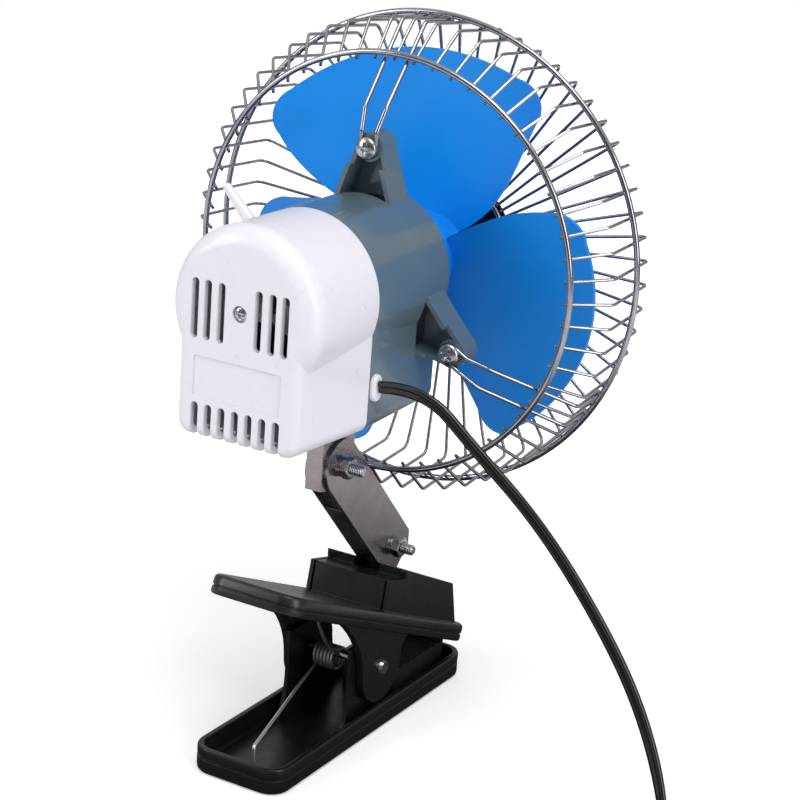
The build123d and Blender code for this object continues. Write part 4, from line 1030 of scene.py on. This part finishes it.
@dataclass
class SpringClip:
    """Two moulded jaws on a pin, their pads and the torsion spring.

    Attributes:
        half: Half width of both jaws, mm.
        corner: Radius of their corners, mm.
        tray_past: Length of the tray past the solid's rear end, mm.
        slope: Rise of the upper jaw towards its handle, degrees.
        plate_ends: Ends of the upper jaw along its slope, from the pin, mm.
        tray_walls: Inset and height of the lower jaw's wall, from its sole to its floor, mm.
        plate_walls: The same for the upper jaw, from its hollow to its top, above the pin.
        box_side: Outline of the block that holds the link, as (y, z), mm.
        box_half: Half width of that block, mm.
        panel_half: Half width of its rear panel, mm.
        panel_gap: Width of the groove beside the panel, mm.
        panel_depth: Depth of that groove, mm.
        seam_z: Lower end of the seam between the rear panel and the block's sides, mm.
        pocket_half: Half width of the pocket round the link's end, mm.
        pocket_radius: Radius of that pocket, mm.
        knuckle_half: Half width of the knuckle between the link's plates, mm.
        knuckle_radius: Radius of the knuckle, mm.
        outer_ears: Inner and outer face of the upper jaw's ears, mm.
        inner_ears: Inner and outer face of the lower jaw's ears, mm.
        ear_radius: Radius of the upper jaw's ears round the pin, mm.
        ear_step: How much smaller the lower jaw's ears are there, mm.
        low_ear_rear: Start, pull and end of a lower ear's rear edge, as (y from the pin, z), mm.
        low_ear_top: Upper rear corner of a lower ear, from the pin, mm.
        low_ear_foot: Front end of a lower ear's foot, as (y from the pin, z), mm.
        low_ear_arc: Angles between which a lower ear is round, degrees.
        ear_front: Front end of an upper ear, as (y from the pin, z), mm.
        front_pull: Height up to which an upper ear's front edge stays upright, mm.
        ear_rear: Rear end of an upper ear, as (y from the pin, z), mm.
        rear_pull: Point that bends an upper ear's rear edge, as (y from the pin, z), mm.
        pocket_arc: Angles between which the pocket is round, degrees.
        lap: How far neighbouring parts of the block run into each other, mm.
        knuckle_sink: How far the knuckle's stem goes below the pocket, mm.
    """

    half: float = 18.8
    corner: float = 8.0
    tray_past: float = 2.5
    slope: float = 22.9
    plate_ends: tuple[float, float] = (-62.4, 77.9)
    tray_walls: tuple = ((2.0, 0.0), (0.8, 0.35), (0.2, 1.0), (0.0, 2.0), (0.0, 5.5), (0.7, 5.8), (0.7, 6.4),
                         (0.0, 6.7), (0.0, 9.2), (0.3, 9.8), (0.9, 10.0), (1.8, 10.0), (2.3, 9.7), (2.4, 9.2),
                         (2.7, 3.0), (3.5, 2.2))
    plate_walls: tuple = ((3.5, 16.1), (2.6, 15.5), (2.4, 13.9), (1.9, 13.3), (0.9, 13.3), (0.2, 13.7),
                          (0.0, 14.4), (0.0, 15.9), (0.5, 16.1), (0.5, 16.5), (0.0, 16.7), (0.0, 18.9),
                          (0.4, 19.8), (1.3, 20.3), (2.6, 20.3))
    box_side: tuple = ((-63.8, 22.8), (-59.3, 41.2), (-22.0, 58.4), (-22.0, 54.9), (-10.3, 57.8),
                       (-7.6, 45.2))
    box_half: float = 17.2
    panel_half: float = 14.8
    seam_z: float = 39.7
    panel_gap: float = 0.9
    panel_depth: float = 1.6
    pocket_half: float = 5.5
    pocket_radius: float = 13.0
    knuckle_half: float = 3.3
    knuckle_radius: float = 6.5
    outer_ears: tuple[float, float] = (14.4, 17.2)
    inner_ears: tuple[float, float] = (12.4, 14.0)
    ear_radius: float = 13.4
    ear_step: float = 0.5
    low_ear_rear: tuple = ((23.0, 1.5), (16.0, 9.0), (17.2, 24.0))
    low_ear_top: tuple[float, float] = (17.4, 11.6)
    low_ear_foot: tuple[float, float] = (-17.0, 1.5)
    low_ear_arc: tuple[float, float] = (62.0, 180.0)
    ear_front: tuple[float, float] = (-35.6, 29.0)
    front_pull: float = 36.0
    ear_rear: tuple[float, float] = (38.4, 57.5)
    rear_pull: tuple[float, float] = (14.4, 43.0)
    pocket_arc: tuple[float, float] = (-117.0, -34.5)
    lap: float = 0.2
    knuckle_sink: float = 1.0

    def build(self) -> None:
        """Make the jaws and the spring, and dress pads and pin."""
        dress(BLACK_RUBBER, "lower_grip_pad", "upper_grip_pad")
        dress(ZINC_STEEL, "pivot_pin")
        pin = joint_place("jaw_open") * 1000
        self.lower_jaw(pin)
        self.upper_jaw(pin)
        CoilSpring().build(pin)

    def lower_jaw(self, pin: Vector) -> None:
        """Make the tray that stands on the table and its two ears.

        Args:
            pin: Place of the pin's axis, mm.
        """
        low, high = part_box("lower_jaw")
        made = bmesh.new()
        ends = (low.y * 1000, high.y * 1000 + self.tray_past)
        rounded_pan(made, Matrix.Identity(4), self.half, ends, self.corner, self.tray_walls)
        rear = arc_line(*(Vector((pin.y + y, z)) for y, z in self.low_ear_rear))
        top = Vector((pin.y + self.low_ear_top[0], pin.z + self.low_ear_top[1]))
        crown = circle_line(pin.y, pin.z, self.ear_radius - self.ear_step, *self.low_ear_arc)
        foot = Vector((pin.y + self.low_ear_foot[0], self.low_ear_foot[1]))
        for side in (-1, 1):
            prism(made, [*rear, top, *crown, foot], side * self.inner_ears[0], side * self.inner_ears[1])
        piece = shown_mesh("lower_jaw_moulding", made)
        finish_piece(piece, BLACK_PP, "lower_clip", "black_moulding", "lower_jaw")

    def upper_jaw(self, pin: Vector) -> None:
        """Make the sloping plate with its ears and with the block that holds the link.

        Args:
            pin: Place of the pin's axis, mm.
        """
        made = bmesh.new()
        place = Matrix.Translation(pin / 1000) @ Matrix.Rotation(math.radians(self.slope), 4, "X")
        rounded_pan(made, place, self.half, self.plate_ends, self.corner, self.plate_walls)
        front_y, rear_y = pin.y - self.ear_radius, pin.y + self.ear_radius
        front = arc_line(Vector((pin.y + self.ear_front[0], self.ear_front[1])),
                         Vector((front_y, self.front_pull)), Vector((front_y, pin.z)))
        boss = circle_line(pin.y, pin.z, self.ear_radius, 180.0, 360.0)
        rear = arc_line(Vector((rear_y, pin.z)), Vector((pin.y + self.rear_pull[0], self.rear_pull[1])),
                        Vector((pin.y + self.ear_rear[0], self.ear_rear[1])))
        outline = [*front, *boss[1:], *rear[1:]]
        for side in (-1, 1):
            prism(made, outline, side * self.outer_ears[0], side * self.outer_ears[1])
        self.block(made)
        piece = shown_mesh("upper_jaw_moulding", made)
        finish_piece(piece, BLACK_PP, "upper_clip", "black_moulding", "upper_jaw")

    def block(self, made: bmesh.types.BMesh) -> None:
        """Add the block with its rear panel, its pocket and the knuckle that the link grips.

        Args:
            made: Mesh that gets the block.
        """
        bolt = joint_place("lower_tilt") * 1000
        sides = [Vector(spot) for spot in self.box_side]
        seam = Vector((sides[3][0], self.seam_z))
        drop, inward = Vector((0, self.panel_depth / 2)), Vector((self.panel_depth, 0))
        sunk = [sides[0], sides[1] - drop, sides[2] - drop, sides[3] - drop, sides[4] - drop - inward,
                sides[5] - inward]
        wall = self.panel_half + self.panel_gap
        for side in (-1, 1):
            prism(made, [*sides[:3], seam], side * self.pocket_half, side * self.panel_half)
            prism(made, sunk, side * (self.panel_half - self.lap), side * (wall + self.lap))
            prism(made, sides, side * wall, side * self.box_half)
        prism(made, [seam, *sides[3:]], -self.panel_half, self.panel_half)
        pocket = circle_line(bolt.y, bolt.z, self.pocket_radius, *self.pocket_arc)
        pocket_end = self.pocket_half + self.lap / 2
        prism(made, [*sides[:2], *pocket, seam], -pocket_end, pocket_end)
        crown = circle_line(bolt.y, bolt.z, self.knuckle_radius, 0.0, 180.0)
        root = bolt.z - self.pocket_radius - self.knuckle_sink
        stem = [Vector((bolt.y - self.knuckle_radius, root)), Vector((bolt.y + self.knuckle_radius, root))]
        prism(made, [*crown, *stem], -self.knuckle_half, self.knuckle_half)


@dataclass
class CoilSpring:
    """Torsion spring of the clip, with a leg to each jaw.

    Attributes:
        wire: Diameter of the wire, mm.
        radius: Radius of the coil at the middle of the wire, mm.
        turns: Number of turns.
        ends: The coil's two ends along X, mm.
        offset: Coil's axis from the pin's axis, as (y, z), mm.
        heel: Bend of the lower leg, as (x, y, z), mm.
        toe: End of the lower leg on the tray's floor, mm.
        tip: End of the upper leg under the handle, as (y, z), mm.
        sweep: Length over which the upper leg leaves the coil in line with it, mm.
        heel_radius: Radius of the wire's bend at the heel, mm.
        steps: Points in each turn.
    """

    wire: float = 1.3
    radius: float = 4.15
    turns: float = 6.5
    ends: tuple[float, float] = (0.6, 10.6)
    offset: tuple[float, float] = (0.6, -1.65)
    heel: tuple[float, float, float] = (-1.0, 50.3, 10.6)
    toe: tuple[float, float, float] = (-1.6, 50.4, 2.95)
    tip: tuple[float, float] = (12.5, 50.3)
    sweep: float = 10.0
    heel_radius: float = 1.2
    steps: int = 20

    def build(self, pin: Vector) -> None:
        """Wind the spring; its upper leg reaches up under the upper jaw's handle.

        Args:
            pin: Place of the pin's axis, mm.
        """
        y, z = pin.y + self.offset[0], pin.z + self.offset[1]
        steps = round(self.turns * self.steps)
        coil = []
        for step in range(steps + 1):
            turn = TURN * self.turns * step / steps
            x = self.ends[0] + (self.ends[1] - self.ends[0]) * step / steps
            coil.append(Vector((x, y - self.radius * math.sin(turn), z + self.radius * math.cos(turn))))
        top = coil[0]
        upper = arc_line(Vector((top.x, *self.tip)), Vector((top.x, top.y + self.sweep, top.z)), top)
        lower = rounded_line([coil[-1], Vector(self.heel), Vector(self.toe)], self.heel_radius)
        line = [spot / 1000 for spot in (*upper[:-1], *coil, *lower[1:])]
        made = bmesh.new()
        skin_rings(made, wire_rings(line, self.wire / 2))
        piece = shown_mesh("torsion_spring_wire", made)
        piece.data.materials.append(SPRING_STEEL.material())
        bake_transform(piece)
        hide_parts("torsion_spring")
        LOG.info("piece %s bends between both jaws", piece.name)


# ---------------------------------------------------------------- cord
@dataclass
class SupplyCord:
    """Flat twin cord from the grommet to the plug, its spare length coiled and tied.

    Attributes:
        width: Width of the flat cord, mm.
        thickness: Thickness of the flat cord, mm.
        coil_centre: Middle of the coil on the floor, mm.
        coil_radius: Radius of the outer turn's middle line, mm.
        turns: Turns in the coil.
        first_height: Height of the lower turns' middle line, mm.
        layer_rise: How much higher the upper turns lie, mm.
        radial_pitch: Distance from one turn to the next towards the coil's middle, mm.
        steps: Points in each turn.
        length: Real length of the cord, mm.
        lead_in: Where the cord turns towards the plug, before the lead and below it, mm.
        core_arc: Half of the angle over which one core's jacket is round, degrees.
        core_points: Points round one core.
        tie_corner: Radius of the tie's corners, mm.
        tie_section: Outline of the tie's band, as (across, depth), mm.
    """

    width: float = 4.4
    thickness: float = 2.3
    coil_centre: tuple[float, float] = (-128.0, 78.0)
    coil_radius: float = 27.0
    turns: float = 6.25
    first_height: float = 2.9
    layer_rise: float = 4.5
    radial_pitch: float = 2.4
    steps: int = 16
    length: float = 1200.0
    lead_in: tuple[float, float] = (4.0, 0.6)
    core_arc: float = 155.0
    core_points: int = 12
    tie_corner: float = 2.4
    tie_section: tuple = ((-2.5, 0.1), (-2.3, 0.0), (2.3, 0.0), (2.5, 0.1), (2.5, 0.5), (2.3, 0.55),
                          (-2.3, 0.55), (-2.5, 0.5))

    def route(self) -> list[Vector]:
        """Return the listed points from the grommet to the coil, in metres."""
        points = [
            (-28.85, 28.3, 144.2),
            (-46.0, 28.5, 147.5),
            (-67.0, 29.6, 131.5),
            (-92.0, 30.0, 113.0),
            (-115.0, 30.0, 88.0),
            (-134.0, 30.5, 62.0),
            (-147.0, 32.5, 34.0),
            (-153.5, 39.0, 11.0),
            (-155.0, 50.0, 2.6),
            (-155.0, 60.9, 2.8),
        ]
        return [Vector((mm(x), mm(y), mm(z))) for x, y, z in points]

    def coil(self) -> list[Vector]:
        """Return the points of the coil's turns, clockwise from above, in metres."""
        points = []
        total = round(self.turns * self.steps)
        half_way = total / 2
        cut_in = 1 / math.cos(math.pi / self.steps)
        for step in range(1, total + 1):
            turn = math.pi - TURN * step / self.steps
            inward = self.radial_pitch * (half_way - abs(step - half_way)) / self.steps
            rise = self.layer_rise * held((step - half_way + self.steps / 2) / self.steps)
            reach = (self.coil_radius - inward) * cut_in
            points.append(Vector((mm(self.coil_centre[0] + reach * math.cos(turn)),
                                  mm(self.coil_centre[1] + reach * math.sin(turn)),
                                  mm(self.first_height + rise))))
        return points

    def build(self) -> None:
        """Make the cord, tie its coil and dress the plug."""
        dress(PLUG_BLACK, "plug_shell", "plug_cap")
        dress(NICKEL_BRASS, "plug_side_contacts", "plug_tip")
        low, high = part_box("plug_lead")
        lead = middle("plug_lead")
        before, below = self.lead_in
        points = self.route() + self.coil()
        points += [Vector((low.x - mm(before), lead.y, lead.z - mm(below))), Vector((high.x, lead.y, lead.z))]
        cord = self.curve(points)
        tie = self.tie()

    def curve(self, points: Sequence[Vector]) -> bpy.types.Object:
        """Lay the cord as a smooth curve with a twin-core section.

        Args:
            points: Control points in metres.

        Returns:
            The cord.
        """
        data = bpy.data.curves.new("supply_cord", "CURVE")
        data.dimensions = "3D"
        data.twist_mode = "Z_UP"
        data.resolution_u = 8
        spline = data.splines.new("NURBS")
        spline.points.add(len(points) - 1)
        for control, point in zip(spline.points, points):
            control.co = (*point, 1.0)
        spline.order_u = 3
        spline.use_endpoint_u = True
        data.bevel_mode = "OBJECT"
        data.bevel_object = self.section()
        data.use_fill_caps = True
        cord = add_object("supply_cord", data)
        finish_piece(cord, PVC_JACKET, "head", "cord_jacket", "power_cord", "cord_coil", "plug_lead")
        return cord

    def section(self) -> bpy.types.Object:
        """Return the cord's twin-core outline, which isn't shown itself."""
        core = self.thickness / 2
        offset = self.width / 2 - core
        outline = bpy.data.curves.new("cord_section", "CURVE")
        outline.dimensions = "2D"
        spline = outline.splines.new("POLY")
        points = []
        start = math.radians(self.core_arc)
        for side in (1, -1):
            for step in range(self.core_points):
                turn = start - 2 * start * step / (self.core_points - 1)
                points.append((core * math.sin(turn) * side, side * (offset + core * math.cos(turn))))
        spline.points.add(len(points) - 1)
        for control, (x, y) in zip(spline.points, points):
            control.co = (mm(x), mm(y), 0.0, 1.0)
        spline.use_cyclic_u = True
        section = add_object("cord_section", outline)
        section.hide_render = True
        section.hide_viewport = True
        return section

    def tie(self) -> bpy.types.Object:
        """Wrap the strap that holds the coil's turns together.

        Returns:
            The strap, a rounded band.
        """
        low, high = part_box("cord_tie")
        centre = (low + high) / 2
        half_x, half_z = (high.x - low.x) / 2, (high.z - low.z) / 2
        corner, steps = mm(self.tie_corner), 6
        made = bmesh.new()
        rings = []
        for quarter, (sx, sz) in enumerate(((1, 1), (-1, 1), (-1, -1), (1, -1))):
            for step in range(steps + 1):
                turn = math.radians(90 * quarter + 90 * step / steps)
                out = Vector((math.cos(turn), 0, math.sin(turn)))
                foot = centre + Vector((sx * (half_x - corner), 0, sz * (half_z - corner)))
                rings.append([foot + out * (corner - mm(depth)) + Vector((0, mm(across), 0))
                              for across, depth in self.tie_section])
        skin_rings(made, rings, looped=True)
        strap = shown_mesh("cord_tie_strap", made)
        finish_piece(strap, BLACK_PP, "head", "black_moulding", "cord_tie")
        return strap


# ---------------------------------------------------------------- studio
@dataclass
class Studio:
    """White product studio: camera, lamps, world and floor.

    Attributes:
        azimuth: Direction of the camera round the fan, degrees.
        elevation: Height of the camera above the horizon, degrees.
        roll: Turn of the picture, degrees.
        focal: Focal length over a 36 mm sensor, mm.
        distance: Distance of the camera from the guard's plane, mm.
        offset: Shift of the camera to its right and up, mm.
        floor_radius: Radius of the floor, mm.
        shadow_reach: Distance up to which the floor shows the fan's shadow, mm.
        shadow_lift: How much the floor there glows for the camera; further out it glows white.
        painted_shade_reach: Distances between which the floor's painted shade, which only the fan's
            reflections show, fades to white, mm.
        aim: Height at which the lamps point, mm.
        fill: Light of the world on dull surfaces.
        gloss: Brightness of the world below and above, as glossy surfaces mirror it.
        dark_side: Share of that brightness that is left straight behind the fan.
        softboxes: Name, place, size and power of each lamp, in mm and watts.
    """

    azimuth: float = 209.15
    elevation: float = 18.08
    roll: float = 4.26
    focal: float = 100.8
    distance: float = 790.31
    offset: tuple[float, float] = (10.79, -47.09)
    floor_radius: float = 1600.0
    shadow_reach: float = 230.0
    shadow_lift: float = 0.36
    painted_shade_reach: tuple[float, float] = (130.0, 330.0)
    aim: float = 130.0
    fill: float = 0.5
    gloss: tuple[float, float] = (0.06, 0.7)
    dark_side: float = 0.3
    softboxes: tuple = (("overhead_softbox", (-250, 250, 950), (500, 500), 3.4),
                        ("left_softbox", (700, 650, 500), (420, 600), 3.0),
                        ("right_softbox", (-850, 250, 420), (300, 600), 2.4))

    def build(self) -> None:
        """Set up camera, lamps, world and floor."""
        bpy.context.scene.view_settings.view_transform = "Standard"
        self.camera()
        self.world()
        for name, spot, size, power in self.softboxes:
            self.lamp(name, spot, size, power)
        self.floor()

    def camera(self) -> None:
        """Place the camera where the photograph was taken from."""
        turn, rise, roll = (math.radians(a) for a in (self.azimuth, self.elevation, self.roll))
        back = Vector((math.sin(turn) * math.cos(rise), -math.cos(turn) * math.cos(rise), math.sin(rise)))
        right = Vector((math.cos(turn), math.sin(turn), 0.0))
        up = right.cross(-back)
        rolled_right = math.cos(roll) * right + math.sin(roll) * up
        rolled_up = -math.sin(roll) * right + math.cos(roll) * up
        target = Vector((0, middle("guard_rear_ring").y, middle("guard_rear_ring").z))
        spot = target + back * mm(self.distance) + right * mm(self.offset[0]) + up * mm(self.offset[1])
        data = bpy.data.cameras.new("studio_camera")
        data.lens = self.focal
        data.clip_start, data.clip_end = mm(10), mm(10000)
        camera = add_object("studio_camera", data)
        axes = Matrix((rolled_right, rolled_up, back)).transposed().to_4x4()
        camera.matrix_world = Matrix.Translation(spot) @ axes
        bpy.context.scene.camera = camera

    def world(self) -> None:
        """Light the fan evenly, show white to the camera and a studio to the gloss."""
        world = bpy.data.worlds.new("white_studio")
        bpy.context.scene.world = world
        world.use_nodes = True
        tree = world.node_tree
        tree.nodes.clear()
        rays = add_node(tree, "ShaderNodeLightPath")
        direction = add_node(tree, "ShaderNodeTexCoord").outputs["Generated"]
        parts = add_node(tree, "ShaderNodeSeparateXYZ", {0: direction})
        rise = add_node(tree, "ShaderNodeMapRange", {"Value": parts.outputs["Z"], "From Min": -0.3,
                                                     "From Max": 0.7, "To Min": self.gloss[0],
                                                     "To Max": self.gloss[1]})
        turn = add_node(tree, "ShaderNodeMapRange", {"Value": parts.outputs["Y"], "From Min": 0.2,
                                                     "From Max": 0.95, "To Min": 1.0,
                                                     "To Max": self.dark_side})
        gloss = add_node(tree, "ShaderNodeMath", {0: rise.outputs["Result"], 1: turn.outputs["Result"]},
                         operation="MULTIPLY")
        level = add_node(tree, "ShaderNodeMix", {0: rays.outputs["Is Glossy Ray"], 2: self.fill,
                                                 3: gloss.outputs["Value"]}, data_type="FLOAT")
        seen = add_node(tree, "ShaderNodeMath", {0: rays.outputs["Is Camera Ray"],
                                                 1: rays.outputs["Is Transmission Ray"]},
                        operation="MAXIMUM")
        strength = add_node(tree, "ShaderNodeMix", {0: seen.outputs["Value"], 2: level.outputs[0], 3: 1.0},
                            data_type="FLOAT")
        sky = add_node(tree, "ShaderNodeBackground", {"Color": WHITE, "Strength": strength.outputs[0]})
        add_node(tree, "ShaderNodeOutputWorld", {"Surface": sky.outputs["Background"]})

    def lamp(self, name: str, spot: tuple[float, float, float], size: tuple[float, float],
             power: float) -> None:
        """Hang one rectangular lamp that points at the fan's middle.

        Args:
            name: Name of the lamp.
            spot: Its place, mm.
            size: Its width and height, mm.
            power: Its power in watts.
        """
        data = bpy.data.lights.new(name, "AREA")
        data.shape = "RECTANGLE"
        data.size, data.size_y = mm(size[0]), mm(size[1])
        data.energy = power
        lamp = add_object(name, data)
        place = Vector([mm(value) for value in spot])
        target = Vector((0, 0, mm(self.aim)))
        lamp.location = place
        lamp.rotation_mode = "QUATERNION"
        lamp.rotation_quaternion = (target - place).to_track_quat("-Z", "Y")

    def floor(self) -> None:
        """Lay the white floor, which keeps the fan's shadow; near the fan it is painted dark for glossy rays
        only, a painted reflection of shade in the fan's glossy faces.
        """
        made = bmesh.new()
        bmesh.ops.create_circle(made, cap_ends=True, radius=mm(self.floor_radius), segments=96)
        floor = shown_mesh("studio_floor", made)
        floor.location.z = mm(-0.05)
        material = bpy.data.materials.new("white_floor_painted_dark_in_reflections")
        material.use_nodes = True
        tree = material.node_tree
        tree.nodes.clear()
        rays = add_node(tree, "ShaderNodeLightPath")
        place = add_node(tree, "ShaderNodeTexCoord").outputs["Object"]
        reach = add_node(tree, "ShaderNodeVectorMath", {0: place}, operation="LENGTH")
        dark_from, dark_to = self.painted_shade_reach
        # Painted shade: near the fan the floor turns dark for glossy rays only, a painted dark reflection
        # that darkens the fan's glossy faces towards the bottom.
        near = add_node(tree, "ShaderNodeMapRange", {"Value": reach.outputs["Value"],
                                                     "From Min": mm(dark_from), "From Max": mm(dark_to),
                                                     "To Min": 0.95, "To Max": 0.0},
                        interpolation_type="SMOOTHSTEP")
        painted_reflection_shade = add_node(tree, "ShaderNodeMath", {0: rays.outputs["Is Glossy Ray"], 1: near.outputs["Result"]},
                       operation="MULTIPLY")
        # The second colour is the painted dark that reflections show; camera and diffuse rays see the first,
        # white colour.
        tone = add_node(tree, "ShaderNodeMix", {0: painted_reflection_shade.outputs["Value"], 6: linear("#F2F2F4"),
                                                7: linear("#3A3A40")}, data_type="RGBA")
        paper = add_node(tree, "ShaderNodeBsdfDiffuse", {"Color": tone.outputs[2]})
        fade = add_node(tree, "ShaderNodeMapRange", {"Value": reach.outputs["Value"],
                                                     "From Min": mm(self.shadow_reach),
                                                     "From Max": mm(2 * self.shadow_reach),
                                                     "To Min": self.shadow_lift, "To Max": 1.0},
                        interpolation_type="SMOOTHSTEP")
        lift = add_node(tree, "ShaderNodeMath", {0: rays.outputs["Is Camera Ray"], 1: fade.outputs["Result"]},
                        operation="MULTIPLY")
        glow = add_node(tree, "ShaderNodeEmission", {"Color": WHITE, "Strength": lift.outputs["Value"]})
        both = add_node(tree, "ShaderNodeAddShader", {0: paper.outputs["BSDF"], 1: glow.outputs["Emission"]})
        add_node(tree, "ShaderNodeOutputMaterial", {"Surface": both.outputs["Shader"]})
        floor.data.materials.append(material)


def main() -> None:
    """Build the studio and dress the fan, sub-assembly by sub-assembly."""
    logging.basicConfig(level=logging.INFO, format="%(name)s: %(message)s")
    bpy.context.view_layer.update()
    for part in (Studio(), SupplyCord(), FanHead(), GuardCage(), Rotor(), TiltLink(), SpringClip()):
        LOG.info("building %s", type(part).__name__)
        part.build()


if __name__ == "__main__":
    main()
